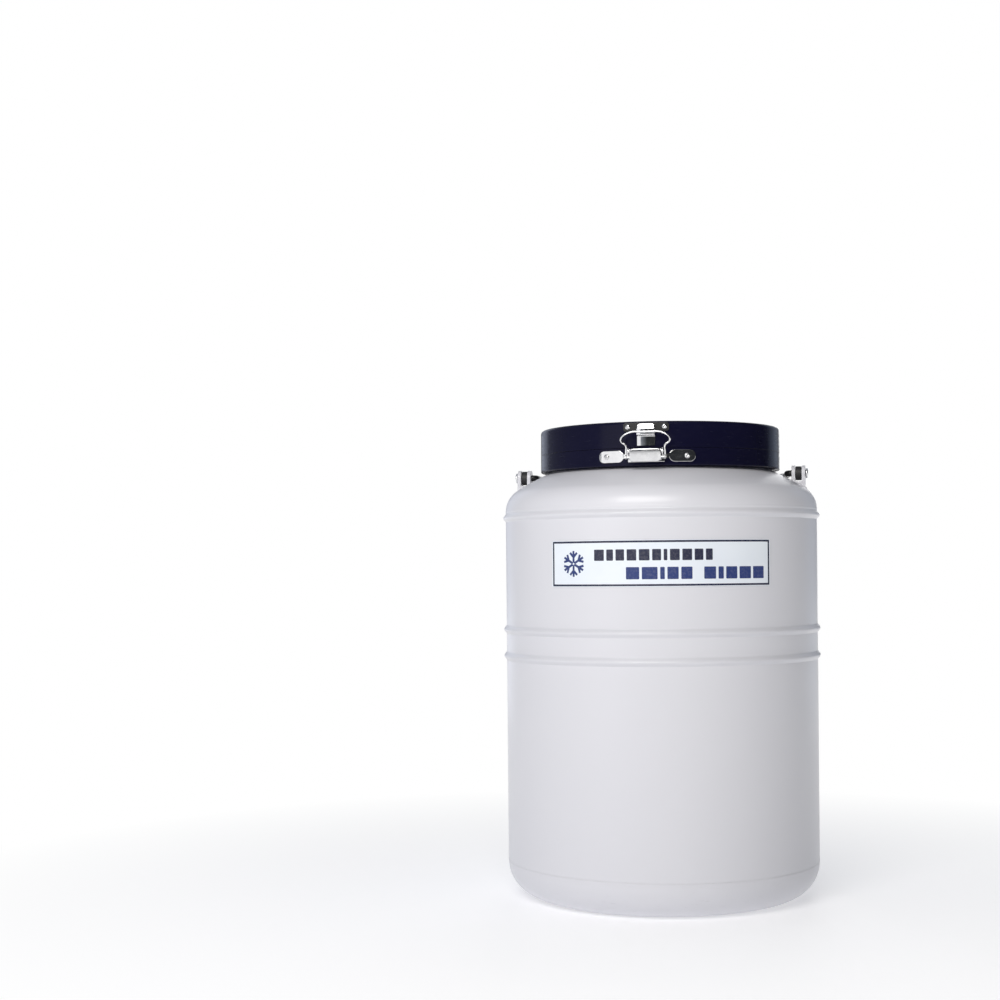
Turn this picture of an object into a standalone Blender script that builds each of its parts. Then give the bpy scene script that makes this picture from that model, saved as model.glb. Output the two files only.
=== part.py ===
"""A dry shipper for liquid nitrogen: a vacuum-insulated vessel with a hinged, latched lid and a bail.

Metres, +Z up. The origin is the centre of the underside, and the latch faces -Y.
"""

from math import asin, cos, pi, radians, sin, sqrt

import bmesh
import bpy
from mathutils import Matrix, Vector

# Driving dimensions.
SHELL_RADIUS = 0.1905
SHEET = 0.002
BASE_CORNER = 0.043
FOOT_INNER = 0.132
BASE_RECESS = 0.008
HEAD_START = 0.471
KNUCKLE = 0.030
KNUCKLE_TURN = radians(58)
BEAD_HEIGHTS = (0.463, 0.3265, 0.294)
BEAD_HALF = 0.0052
BEAD_PROUD = 0.0032

NECK_RADIUS = 0.108
NECK_WALL = 0.0025
NECK_BOTTOM = 0.400
VESSEL_RADIUS = 0.1685
VESSEL_BOTTOM = 0.045
LINER_RADIUS = 0.105
LINER_WALL = 0.0015

CLOSURE_RADIUS = 0.1464
CLOSURE_BOTTOM = 0.5185
PARTING = 0.539
CLOSURE_TOP = 0.570
CLOSURE_WALL = 0.003
PLUG_DEPTH = 0.080
PLUG_TOP_RADIUS = 0.1055
PLUG_END_RADIUS = 0.0925

BAIL_HEIGHT = 0.514
BAIL_ROD = 0.0038
BAIL_HALF_WIDTH = 0.1553
BAIL_LEG = 0.020
BAIL_BEND = 0.005
BAIL_END = 0.1807
GRIP_RADIUS = 0.008
GRIP_HALF_ANGLE = radians(21)

LUG_INNER = 0.1607
LUG_EAR = 0.0045
LUG_GAP = 0.0075
LUG_HALF_DEPTH = 0.0095

HINGE_Y = 0.1515
BARREL = 0.0035
HINGE_PIN = 0.0016

LATCH_PIVOT = (-0.1545, 0.5345)
LINK_PIVOT = (-0.1535, 0.528)
LATCH_EAR_X = 0.0190
LATCH_SHEET = 0.0015
LOOP_X = 0.0225
LOOP_WIRE = 0.0011
LOOP_BAR = (-0.1565, 0.557)

LABEL_LOW = 0.3794
LABEL_HIGH = 0.4325
LABEL_HALF_ARC = 0.1354
LABEL_FACES = radians(6)

GAP = 0.0003
OUTSIDE_STEPS = 40
INSIDE_STEPS = 32
BACK = pi


def clear_scene():
    for obj in list(bpy.data.objects):
        bpy.data.objects.remove(obj, do_unlink=True)


clear_scene()
PARTS = bpy.data.collections.new("nitrogen_dewar")
CUTTERS = bpy.data.collections.new("cutters")
bpy.context.scene.collection.children.link(PARTS)
bpy.context.scene.collection.children.link(CUTTERS)


def material(name, colour, roughness, metallic=0.0):
    made = bpy.data.materials.new(name)
    made.use_nodes = True
    shader = made.node_tree.nodes["Principled BSDF"]
    shader.inputs["Base Color"].default_value = (*colour, 1.0)
    shader.inputs["Roughness"].default_value = roughness
    shader.inputs["Metallic"].default_value = metallic
    made.diffuse_color = (*colour, 1.0)
    return made


WHITE_PAINT = material("white_paint", (0.80, 0.80, 0.84), 0.35)
NAVY_PLASTIC = material("navy_plastic", (0.010, 0.010, 0.045), 0.22)
BRIGHT_STEEL = material("bright_steel", (0.85, 0.85, 0.86), 0.15, 1.0)
BLACK_COATING = material("black_coating", (0.012, 0.012, 0.012), 0.40)
BLACK_NYLON = material("black_nylon", (0.02, 0.02, 0.02), 0.55)
BARE_ALUMINIUM = material("bare_aluminium", (0.75, 0.75, 0.76), 0.38, 1.0)
GLASS_FIBRE = material("glass_fibre", (0.55, 0.50, 0.33), 0.45)
FOAM = material("foam", (0.86, 0.84, 0.76), 0.85)
FOIL = material("foil_blanket", (0.80, 0.80, 0.80), 0.30, 0.9)
ABSORBENT = material("absorbent", (0.88, 0.87, 0.84), 0.95)
GETTER = material("getter", (0.45, 0.43, 0.40), 0.9)
LABEL = material("label", (0.83, 0.84, 0.88), 0.40)


def place(name, mesh, finish, collection=PARTS):
    """Puts a mesh into the scene as one named object, or as a hidden cutter."""
    obj = bpy.data.objects.new(name, mesh)
    mesh.name = name
    collection.objects.link(obj)
    if collection is CUTTERS:
        obj.hide_render = True
        obj.display_type = "WIRE"
    else:
        mesh.materials.clear()
        mesh.materials.append(finish)
    return obj


def from_bmesh(name, bm, finish=None, collection=PARTS):
    bmesh.ops.recalc_face_normals(bm, faces=bm.faces)
    if bm.calc_volume(signed=True) < 0:
        bmesh.ops.reverse_faces(bm, faces=bm.faces)
    mesh = bpy.data.meshes.new(name)
    bm.to_mesh(mesh)
    bm.free()
    return place(name, mesh, finish, collection)


def turned(name, profile, finish, steps=OUTSIDE_STEPS, ring=False, collection=PARTS):
    """Turns (radius, height) points about Z. A ring's outline closes on itself; others end on the axis."""
    on_axis = [i for i, (radius, _) in enumerate(profile) if radius < 1e-9]
    if not ring and on_axis != [0, len(profile) - 1]:
        profile = profile[on_axis[1] :] + profile[: on_axis[0] + 1]
    edges = [(i, i + 1) for i in range(len(profile) - 1)]
    if ring:
        edges.append((len(profile) - 1, 0))
    mesh = bpy.data.meshes.new(name)
    mesh.from_pydata([(radius, 0.0, height) for radius, height in profile], edges, [])
    obj = place(name, mesh, finish, collection)
    screw = obj.modifiers.new("turn", "SCREW")
    screw.axis = "Z"
    screw.angle = 2 * pi
    screw.steps = steps
    screw.render_steps = steps
    screw.use_merge_vertices = True
    screw.merge_threshold = 0.00001
    screw.use_smooth_shade = True
    return obj


def arc(centre, radius, start, end, segments):
    """Points of a circle's arc in the (radius, height) plane."""
    turn = (end - start) / segments
    return [
        (centre[0] + radius * cos(start + turn * i), centre[1] + radius * sin(start + turn * i))
        for i in range(segments + 1)
    ]


def box_bmesh(low, high):
    bm = bmesh.new()
    bmesh.ops.create_cube(bm, size=1.0)
    size = Vector(high) - Vector(low)
    middle = (Vector(high) + Vector(low)) / 2
    bmesh.ops.scale(bm, vec=size, verts=bm.verts)
    bmesh.ops.translate(bm, vec=middle, verts=bm.verts)
    return bm


def box(name, low, high, finish=None, collection=PARTS):
    return from_bmesh(name, box_bmesh(low, high), finish, collection)


def rod_x(name, x_low, x_high, y, z, radius, finish=None, collection=PARTS, sides=16):
    """A round bar along X."""
    bm = bmesh.new()
    lay_along_x = Matrix.Translation(((x_low + x_high) / 2, y, z)) @ Matrix.Rotation(pi / 2, 4, "Y")
    bmesh.ops.create_cone(
        bm,
        cap_ends=True,
        segments=sides,
        radius1=radius,
        radius2=radius,
        depth=x_high - x_low,
        matrix=lay_along_x,
    )
    return from_bmesh(name, bm, finish, collection)


def drill_x(name, x_low, x_high, axis, radius, sides=12):
    """A hidden round bar along X through (y, z), for cutting a hole or for joining."""
    return rod_x(name, x_low, x_high, *axis, radius, collection=CUTTERS, sides=sides)


def boolean(obj, other, operation="DIFFERENCE", solver="EXACT"):
    modifier = obj.modifiers.new(other.name, "BOOLEAN")
    modifier.operation = operation
    modifier.solver = solver
    modifier.object = other
    return obj


def join(obj, *others, solver="EXACT"):
    for other in others:
        boolean(obj, other, "UNION", solver)
    return obj


def outward(angle, radius, height):
    """Placing for a piece on the round wall: its Z points out at this angle from the front, its Y up."""
    normal = Vector((sin(angle), -cos(angle), 0.0))
    along = Vector((cos(angle), sin(angle), 0.0))
    turn = Matrix((along, (0.0, 0.0, 1.0), normal)).transposed().to_4x4()
    return Matrix.Translation(normal * radius + Vector((0.0, 0.0, height))) @ turn


def bent_plate(
    name, half_length, heights, radii, facing, corner=0.0, finish=None, strips=8, collection=PARTS
):
    """A flat plate with rounded corners, rolled to the wall's curve between two radii."""
    bm = box_bmesh((-half_length, radii[0], heights[0]), (half_length, radii[1], heights[1]))
    if corner:
        ends = [edge for edge in bm.edges if abs(edge.verts[0].co.y - edge.verts[1].co.y) > 1e-6]
        bmesh.ops.bevel(bm, geom=ends, offset=corner, segments=3, affect="EDGES", profile=0.5)
    for i in range(1, strips):
        bmesh.ops.bisect_plane(
            bm,
            geom=bm.verts[:] + bm.edges[:] + bm.faces[:],
            plane_co=(half_length * (2 * i / strips - 1), 0.0, 0.0),
            plane_no=(1.0, 0.0, 0.0),
        )
    for vertex in bm.verts:
        angle = facing + vertex.co.x / radii[0]
        vertex.co = (vertex.co.y * sin(angle), -vertex.co.y * cos(angle), vertex.co.z)
    bmesh.ops.triangulate(bm, faces=bm.faces)
    return from_bmesh(name, bm, finish, collection)


def tube_along(name, points, radius, finish=None, collection=PARTS):
    """A round bar along a line of points, as one welded mesh."""
    curve = bpy.data.curves.new(name, "CURVE")
    curve.dimensions = "3D"
    curve.bevel_depth = radius
    curve.bevel_resolution = 2
    curve.use_fill_caps = True
    spline = curve.splines.new("POLY")
    spline.points.add(len(points) - 1)
    for point, place_at in zip(spline.points, points):
        point.co = (*place_at, 1.0)
    line = bpy.data.objects.new(name + "_line", curve)
    bpy.context.scene.collection.objects.link(line)
    graph = bpy.context.evaluated_depsgraph_get()
    mesh = bpy.data.meshes.new_from_object(line.evaluated_get(graph))
    bpy.data.objects.remove(line, do_unlink=True)
    bm = bmesh.new()
    bm.from_mesh(mesh)
    bmesh.ops.remove_doubles(bm, verts=bm.verts, dist=0.00001)
    bpy.data.meshes.remove(mesh)
    return from_bmesh(name, bm, finish, collection)


# The outer vessel.

CROWN_RADIUS = (SHELL_RADIUS - KNUCKLE + KNUCKLE * cos(KNUCKLE_TURN)) / cos(KNUCKLE_TURN)
CROWN_EDGE = HEAD_START + KNUCKLE * sin(KNUCKLE_TURN)
CROWN_CENTRE = CROWN_EDGE - CROWN_RADIUS * sin(KNUCKLE_TURN)


def head_profile(inner_radius, offset=0.0, segments=4, crown_segments=3):
    """The dished head from its hole out to its rim: a shallow crown, then a knuckle to the cylinder."""
    crown = CROWN_RADIUS + offset
    first = pi / 2 - asin(inner_radius / crown)
    points = arc((0.0, CROWN_CENTRE), crown, first, KNUCKLE_TURN, crown_segments)
    knuckle = arc((SHELL_RADIUS - KNUCKLE, HEAD_START), KNUCKLE + offset, KNUCKLE_TURN, 0.0, segments)
    return points + knuckle[1:]


def make_outer_shell():
    profile = [(SHELL_RADIUS, HEAD_START - GAP)]
    for height in BEAD_HEIGHTS:
        profile += [
            (SHELL_RADIUS, height + BEAD_HALF),
            (SHELL_RADIUS + BEAD_PROUD, height + BEAD_HALF / 4),
            (SHELL_RADIUS + BEAD_PROUD, height - BEAD_HALF / 4),
            (SHELL_RADIUS, height - BEAD_HALF),
        ]
    profile += [
        (SHELL_RADIUS, BASE_CORNER + GAP),
        (SHELL_RADIUS - SHEET, BASE_CORNER + GAP),
        (SHELL_RADIUS - SHEET, HEAD_START - GAP),
    ]
    turned("outer_shell", profile, WHITE_PAINT, ring=True)


PORT_RADIUS = 0.014
PORT_BORE = 0.0105
RING_HEIGHT = 0.022


def make_base_pan():
    corner = (SHELL_RADIUS - BASE_CORNER, BASE_CORNER)
    outside = arc(corner, BASE_CORNER, 0.0, -pi / 2, 6)
    underside = [
        (FOOT_INNER, 0.0),
        (FOOT_INNER - BASE_RECESS / 2, BASE_RECESS),
        (PORT_RADIUS + GAP, BASE_RECESS),
    ]
    inside = [
        (PORT_RADIUS + GAP, BASE_RECESS + SHEET),
        (FOOT_INNER, BASE_RECESS + SHEET),
        (FOOT_INNER + BASE_RECESS / 2, SHEET),
    ]
    inner_corner = arc(corner, BASE_CORNER - SHEET, -pi / 2, 0.0, 5)
    turned("base_pan", outside + underside + inside + inner_corner, WHITE_PAINT, ring=True)


def make_shoulder_head():
    hole = NECK_RADIUS + NECK_WALL + GAP
    outside = head_profile(hole)
    inside = head_profile(hole, -SHEET)
    turned("shoulder_head", outside + inside[::-1], WHITE_PAINT, ring=True)


def make_lugs():
    """Two clevises on the shoulder, each with a slot between its ears and a hole for the bail's end."""
    dome = head_profile(NECK_RADIUS + NECK_WALL + GAP, GAP)
    keep_off_head = [(0.0, dome[0][1]), *dome, (0.0, HEAD_START)]
    head_cutter = turned("head_cutter", keep_off_head, None, collection=CUTTERS)
    outer = LUG_INNER + 2 * LUG_EAR + LUG_GAP
    for side, name in ((-1, "lug_left"), (1, "lug_right")):
        low, high = sorted((side * LUG_INNER, side * outer))
        lug = rod_x(name, low, high, 0.0, BAIL_HEIGHT, LUG_HALF_DEPTH, WHITE_PAINT, sides=20)
        foot = box(
            name + "_foot",
            (low, -LUG_HALF_DEPTH, HEAD_START),
            (high, LUG_HALF_DEPTH, BAIL_HEIGHT),
            collection=CUTTERS,
        )
        slot_ends = sorted((side * (LUG_INNER + LUG_EAR), side * (LUG_INNER + LUG_EAR + LUG_GAP)))
        slot_floor = BAIL_HEIGHT - LUG_HALF_DEPTH - 2 * GAP
        slot = box(
            name + "_slot",
            (slot_ends[0], -0.02, slot_floor),
            (slot_ends[1], 0.02, BAIL_HEIGHT + 0.02),
            collection=CUTTERS,
        )
        hole = drill_x(name + "_hole", low - 0.01, high + 0.01, (0.0, BAIL_HEIGHT), BAIL_ROD + GAP)
        join(lug, foot)
        boolean(lug, slot)
        boolean(lug, hole)
        boolean(lug, head_cutter)


def make_label():
    radii = (SHELL_RADIUS + 0.0002, SHELL_RADIUS + 0.0007)
    heights = (LABEL_LOW, LABEL_HIGH)
    bent_plate("label_plate", LABEL_HALF_ARC, heights, radii, LABEL_FACES, 0.002, LABEL, strips=16)


# The inner vessel and what it holds.


def make_neck():
    tube = NECK_RADIUS + NECK_WALL
    neck_top = PARTING - 0.0045
    turned(
        "neck_tube",
        [(tube, neck_top), (tube, NECK_BOTTOM), (NECK_RADIUS, NECK_BOTTOM), (NECK_RADIUS, neck_top)],
        GLASS_FIBRE,
        ring=True,
    )
    ring_inner = tube + GAP
    ring_outer = ring_inner + 0.003
    ring_top = CROWN_CENTRE + sqrt((CROWN_RADIUS - SHEET) ** 2 - ring_outer**2) - 2 * GAP
    turned(
        "neck_ring",
        [
            (ring_outer, ring_top),
            (ring_outer, ring_top - RING_HEIGHT),
            (ring_inner, ring_top - RING_HEIGHT),
            (ring_inner, ring_top),
        ],
        BARE_ALUMINIUM,
        ring=True,
    )


def make_inner_vessel():
    sleeve = NECK_RADIUS + NECK_WALL + 2 * GAP
    wall = VESSEL_RADIUS - SHEET
    turned(
        "inner_vessel",
        [
            (sleeve + SHEET, 0.430),
            (sleeve + SHEET, 0.420),
            (0.150, 0.408),
            (VESSEL_RADIUS, 0.390),
            (VESSEL_RADIUS, 0.060),
            (0.155, VESSEL_BOTTOM),
            (0.0, VESSEL_BOTTOM),
            (0.0, VESSEL_BOTTOM + SHEET),
            (0.154, VESSEL_BOTTOM + SHEET),
            (wall, 0.0607),
            (wall, 0.3892),
            (0.149, 0.4060),
            (sleeve, 0.4182),
            (sleeve, 0.430),
        ],
        BARE_ALUMINIUM,
        INSIDE_STEPS,
    )


def make_insulation():
    hole = 0.1155
    turned(
        "insulation_blanket",
        [
            (hole, 0.452),
            (0.155, 0.438),
            (0.1862, 0.405),
            (0.1862, 0.034),
            (0.175, 0.0305),
            (0.0, 0.0305),
            (0.0, 0.040),
            (0.158, 0.040),
            (0.1705, 0.056),
            (0.1705, 0.3918),
            (0.1505, 0.4112),
            (hole, 0.4224),
        ],
        FOIL,
        INSIDE_STEPS,
    )


def make_getter():
    turned("getter_pack", [(0.0, 0.044), (0.060, 0.044), (0.060, 0.041), (0.0, 0.041)], GETTER, 24)


def make_absorbent():
    bore = LINER_RADIUS + 0.0012
    floor = VESSEL_BOTTOM + SHEET + 0.0012
    turned(
        "absorbent_pack",
        [
            (bore, 0.386),
            (0.1652, 0.386),
            (0.1652, 0.0625),
            (0.1535, floor),
            (0.0, floor),
            (0.0, 0.0612),
            (bore, 0.0612),
        ],
        ABSORBENT,
        INSIDE_STEPS,
    )


def make_chamber_liner():
    """The sample chamber's wall, with rows of slots that let the vapour through from the absorbent."""
    inner = LINER_RADIUS - LINER_WALL
    liner = turned(
        "chamber_liner",
        [
            (inner, 0.398),
            (LINER_RADIUS, 0.398),
            (LINER_RADIUS, 0.0618),
            (0.0, 0.0618),
            (0.0, 0.0618 + LINER_WALL),
            (inner, 0.0618 + LINER_WALL),
        ],
        BARE_ALUMINIUM,
        INSIDE_STEPS,
    )
    slots = bmesh.new()
    for row in range(2):
        for column in range(8):
            angle = 2 * pi * (column + 0.5) / 8 + pi / INSIDE_STEPS
            middle = outward(angle, LINER_RADIUS, 0.140 + 0.160 * row)
            size = Matrix.Diagonal((0.012, 0.110, 0.012, 1.0))
            bmesh.ops.create_cube(slots, size=1.0, matrix=middle @ size)
    boolean(liner, from_bmesh("liner_slots", slots, collection=CUTTERS))


def make_vacuum_port():
    """The pumping port in the middle of the underside, with its plug and dust cap."""
    turned(
        "vacuum_port",
        [
            (PORT_RADIUS, 0.024),
            (PORT_RADIUS, 0.0065),
            (PORT_BORE, 0.0065),
            (PORT_BORE, 0.024),
        ],
        BARE_ALUMINIUM,
        24,
        ring=True,
    )
    plug = [(0.0, 0.022), (PORT_BORE - GAP, 0.022), (PORT_BORE - GAP, 0.0075), (0.0, 0.0075)]
    turned("vacuum_port_plug", plug, BRIGHT_STEEL, 24)
    turned(
        "vacuum_port_cap",
        [
            (0.0162, 0.0074),
            (0.0162, 0.0035),
            (0.0150, 0.0025),
            (0.0, 0.0025),
            (0.0, 0.0060),
            (PORT_RADIUS + GAP, 0.0060),
            (PORT_RADIUS + GAP, 0.0074),
        ],
        BLACK_NYLON,
        24,
    )


# The closure.

SCREW_SHANK = 0.0015
SCREW_HEAD = 0.0031
SCREW_LENGTH = 0.0062
KEEPER_SCREW_ANGLE = 0.021 / CLOSURE_RADIUS
LATCH_SCREW_ANGLE = 0.047 / CLOSURE_RADIUS
HINGE_SCREW_ANGLE = 0.0235 / CLOSURE_RADIUS
PLATE_INNER = CLOSURE_RADIUS + GAP
PLATE_OUTER = PLATE_INNER + LATCH_SHEET
KEEPER_SCREW_HEIGHT = 0.5632
LATCH_SCREW_HEIGHT = 0.5295
UPPER_LEAF = (0.5405, 0.5585)
LOWER_LEAF = (0.5225, 0.5375)


def screw_places():
    """Each fixing screw's name, angle from the front, height and the body that it bites into."""
    upper = sum(UPPER_LEAF) / 2
    lower = sum(LOWER_LEAF) / 2
    places = []
    for side, word in ((-1, "left"), (1, "right")):
        places += [
            ("keeper_screw_" + word, side * KEEPER_SCREW_ANGLE, KEEPER_SCREW_HEIGHT, "lid"),
            ("latch_screw_" + word, side * LATCH_SCREW_ANGLE, LATCH_SCREW_HEIGHT, "collar"),
            ("hinge_screw_upper_" + word, BACK - side * HINGE_SCREW_ANGLE, upper, "lid"),
            ("hinge_screw_lower_" + word, BACK - side * HINGE_SCREW_ANGLE, lower, "collar"),
        ]
    return places


def screw_holes(name, bites):
    """One cutter with a hole for every screw that bites into this body."""
    bm = bmesh.new()
    for _, angle, height, body in screw_places():
        if body == bites:
            bmesh.ops.create_cone(
                bm,
                cap_ends=True,
                segments=10,
                radius1=SCREW_SHANK + GAP,
                radius2=SCREW_SHANK + GAP,
                depth=0.020,
                matrix=outward(angle, CLOSURE_RADIUS + 0.002, height),
            )
    return from_bmesh(name, bm, collection=CUTTERS)


def make_screws():
    head = 0.0016
    profile = [
        (0.0, head),
        (SCREW_HEAD * 0.6, head),
        (SCREW_HEAD, head * 0.4),
        (SCREW_HEAD, 0.0),
        (SCREW_SHANK, 0.0),
        (SCREW_SHANK, -SCREW_LENGTH),
        (0.0, -SCREW_LENGTH),
    ]
    for name, angle, height, _ in screw_places():
        screw = turned(name, profile, BRIGHT_STEEL, 10)
        screw.matrix_world = outward(angle, PLATE_OUTER + 2 * GAP, height)


def make_collar(holes):
    """The fixed navy ring round the neck, with a boss inside it that stands on the shoulder."""
    lip = NECK_RADIUS + 0.0005
    pocket = NECK_RADIUS + NECK_WALL + 2 * GAP
    boss = 0.138

    def above_head(radius):
        return CROWN_CENTRE + sqrt(CROWN_RADIUS**2 - radius**2) + 2 * GAP

    collar = turned(
        "neck_collar",
        [
            (lip, PARTING),
            (CLOSURE_RADIUS - 0.0008, PARTING),
            (CLOSURE_RADIUS, PARTING - 0.0008),
            (CLOSURE_RADIUS, CLOSURE_BOTTOM),
            (boss, CLOSURE_BOTTOM),
            (boss, above_head(boss)),
            (0.126, above_head(0.126)),
            (pocket, above_head(pocket)),
            (pocket, PARTING - 0.004),
            (lip, PARTING - 0.004),
        ],
        NAVY_PLASTIC,
        ring=True,
    )
    boolean(collar, holes)


def make_lid(holes):
    edge = 0.003
    inside = CLOSURE_RADIUS - CLOSURE_WALL
    under_top = CLOSURE_TOP - CLOSURE_WALL
    lid = turned(
        "lid_shell",
        [
            (0.0, CLOSURE_TOP - 0.001),
            (0.126, CLOSURE_TOP - 0.001),
            (0.129, CLOSURE_TOP),
            (CLOSURE_RADIUS - edge, CLOSURE_TOP),
            (CLOSURE_RADIUS, CLOSURE_TOP - edge),
            (CLOSURE_RADIUS, PARTING + GAP),
            (inside, PARTING + GAP),
            (inside, under_top - 0.001),
            (0.0, under_top - 0.001),
        ],
        NAVY_PLASTIC,
    )
    boolean(lid, holes)
    ring_hole = PLUG_TOP_RADIUS + 0.0015
    ring_low = PARTING + 2 * GAP
    ring_high = ring_low + CLOSURE_WALL
    turned(
        "lid_base_ring",
        [
            (inside - GAP, ring_high),
            (inside - GAP, ring_low),
            (ring_hole, ring_low),
            (ring_hole, ring_high),
        ],
        NAVY_PLASTIC,
        ring=True,
    )
    foam_radius = 0.1394
    turned(
        "neck_plug",
        [
            (0.0, under_top - 0.001 - 2 * GAP),
            (foam_radius, under_top - 0.001 - 2 * GAP),
            (foam_radius, ring_high + GAP),
            (PLUG_TOP_RADIUS, ring_high + GAP),
            (PLUG_TOP_RADIUS, PARTING),
            (PLUG_END_RADIUS + 0.001, PARTING - PLUG_DEPTH + 0.006),
            (PLUG_END_RADIUS - 0.004, PARTING - PLUG_DEPTH),
            (0.0, PARTING - PLUG_DEPTH),
        ],
        FOAM,
    )


def make_hinge(lid_holes, collar_holes):
    """A strap hinge at the back: a leaf on the collar, one on the lid and the pin through their knuckles."""
    knuckle_end = 0.016
    middle_half = 0.006
    half_leaf = 0.030
    inset = 0.0004
    web_inner = PLATE_INNER + 0.0006
    axis = (HINGE_Y, PARTING)
    pin_hole = drill_x("hinge_pin_hole", -half_leaf, half_leaf, axis, HINGE_PIN + GAP)
    radii = (PLATE_INNER, PLATE_OUTER)

    shape = (BACK, 0.003, BRIGHT_STEEL, 6)
    lower = bent_plate("hinge_leaf_lower", half_leaf, LOWER_LEAF, radii, *shape)
    for side, word in ((-1, "left"), (1, "right")):
        low, high = sorted((side * (middle_half + 2 * GAP), side * knuckle_end))
        barrel = drill_x("knuckle_" + word, low, high, axis, BARREL)
        web = box(
            "web_" + word,
            (low + inset, web_inner, 0.529),
            (high - inset, HINGE_Y, PARTING - inset),
            collection=CUTTERS,
        )
        join(lower, barrel, web)
    boolean(lower, pin_hole)
    boolean(lower, collar_holes)

    upper = bent_plate("hinge_leaf_upper", half_leaf, UPPER_LEAF, radii, *shape)
    barrel = drill_x("knuckle_middle", -middle_half, middle_half, axis, BARREL)
    web = box(
        "web_middle",
        (inset - middle_half, web_inner, PARTING + inset),
        (middle_half - inset, HINGE_Y, 0.549),
        collection=CUTTERS,
    )
    join(upper, barrel, web)
    boolean(upper, pin_hole)
    boolean(upper, lid_holes)

    pin_end = knuckle_end + 0.001
    rod_x("hinge_pin", -pin_end, pin_end, *axis, HINGE_PIN, BRIGHT_STEEL, sides=12)


# The draw latch at the front.


EAR_RADIUS = 0.0045
LATCH_HEIGHTS = (0.5225, 0.5365)
LATCH_MIDDLE = 0.0212
WING_START = 0.0262
WING_END = 0.0570
WING_CORNER = 0.0065
LATCH_WIDE = 0.030
LATCH_PIN = 0.0012
LINK_PIN = 0.0011
LINK_END = 0.0240


def make_latch_base(collar_holes):
    """The plate on the collar: a middle with the two ears that carry the lever's pin, and a rounded
    wing on each side for a screw, joined by a narrow bridge."""
    radii = (PLATE_INNER, PLATE_OUTER)
    base = bent_plate(
        "latch_base", LATCH_MIDDLE, LATCH_HEIGHTS, radii, 0.0, 0.001, BRIGHT_STEEL, strips=4
    )
    middle = (WING_START + WING_END) / 2
    for side, word in ((-1, "left"), (1, "right")):
        wing = bent_plate(
            "latch_wing_" + word,
            WING_END - middle,
            LATCH_HEIGHTS,
            radii,
            side * middle / PLATE_INNER,
            WING_CORNER,
            strips=4,
            collection=CUTTERS,
        )
        join(base, wing, solver="MANIFOLD")
    bridge = bent_plate(
        "latch_bridge",
        WING_START + 0.003,
        (0.5270, 0.5320),
        (PLATE_INNER + 0.0002, PLATE_OUTER - 0.0003),
        0.0,
        strips=8,
        collection=CUTTERS,
    )
    join(base, bridge, solver="MANIFOLD")
    pin_hole = drill_x("latch_pin_hole", -LATCH_WIDE, LATCH_WIDE, LATCH_PIVOT, LATCH_PIN + GAP, sides=10)
    for side, word in ((-1, "left"), (1, "right")):
        low, high = sorted((side * LATCH_EAR_X, side * (LATCH_EAR_X + LATCH_SHEET)))
        ear = drill_x("latch_ear_" + word, low, high, LATCH_PIVOT, EAR_RADIUS, sides=16)
        web = box(
            "latch_ear_web_" + word,
            (low + 0.0001, LATCH_PIVOT[0], LATCH_PIVOT[1] - EAR_RADIUS + 0.0001),
            (high - 0.0001, -0.1460, LATCH_PIVOT[1] + EAR_RADIUS - 0.0001),
            collection=CUTTERS,
        )
        join(base, ear, web, solver="MANIFOLD")
    boolean(base, pin_hole, solver="MANIFOLD")
    boolean(base, collar_holes, solver="MANIFOLD")


def make_latch_lever():
    """The lever: a front plate between two cheeks, which carry the pivot pin and, below it, the link pin.

    The plate leans in a little towards its foot."""
    width = 0.0183
    cheek = 0.0015
    front = -0.1590
    lean = 0.001
    foot = LATCH_HEIGHTS[0]
    top = LATCH_PIVOT[1] + 0.003
    bm = box_bmesh((-width, front, foot), (width, front + LATCH_SHEET, top))
    ends = [edge for edge in bm.edges if abs(edge.verts[0].co.y - edge.verts[1].co.y) > 1e-6]
    bmesh.ops.bevel(bm, geom=ends, offset=0.005, segments=3, affect="EDGES", profile=0.5)
    for vertex in bm.verts:
        vertex.co.y += lean * (top - vertex.co.z) / (top - foot)
    lever = from_bmesh("latch_lever", bm, BRIGHT_STEEL)
    for side, word in ((-1, "left"), (1, "right")):
        low, high = sorted((side * (width - cheek), side * width))
        side_cheek = box(
            "lever_cheek_" + word,
            (low, front + 0.0012, LINK_PIVOT[1] - 0.003),
            (high, -0.1515, top),
            collection=CUTTERS,
        )
        join(lever, side_cheek)
    boolean(lever, drill_x("lever_pin_hole", -LATCH_WIDE, LATCH_WIDE, LATCH_PIVOT, LATCH_PIN + GAP, sides=10))
    boolean(lever, drill_x("lever_link_hole", -LATCH_WIDE, LATCH_WIDE, LINK_PIVOT, LINK_PIN + GAP, sides=10))
    pin_end = LATCH_EAR_X + LATCH_SHEET + 0.0004
    rod_x("latch_pin", -pin_end, pin_end, *LATCH_PIVOT, LATCH_PIN, BRIGHT_STEEL, sides=10)
    rod_x("latch_link_pin", -LINK_END, LINK_END, *LINK_PIVOT, LINK_PIN, BRIGHT_STEEL, sides=10)


def loop_route():
    """The right half of the wire loop, from its eye up to its bar: (across, share of the way up)."""
    swell = [(LOOP_X + 0.0060 * sin(pi * i / 6), 0.46 + 0.40 * i / 6) for i in range(7)]
    return [(LOOP_X, 0.06), (LOOP_X, 0.25), *swell, (0.0185, 0.95), (0.0150, 1.0)]


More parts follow.
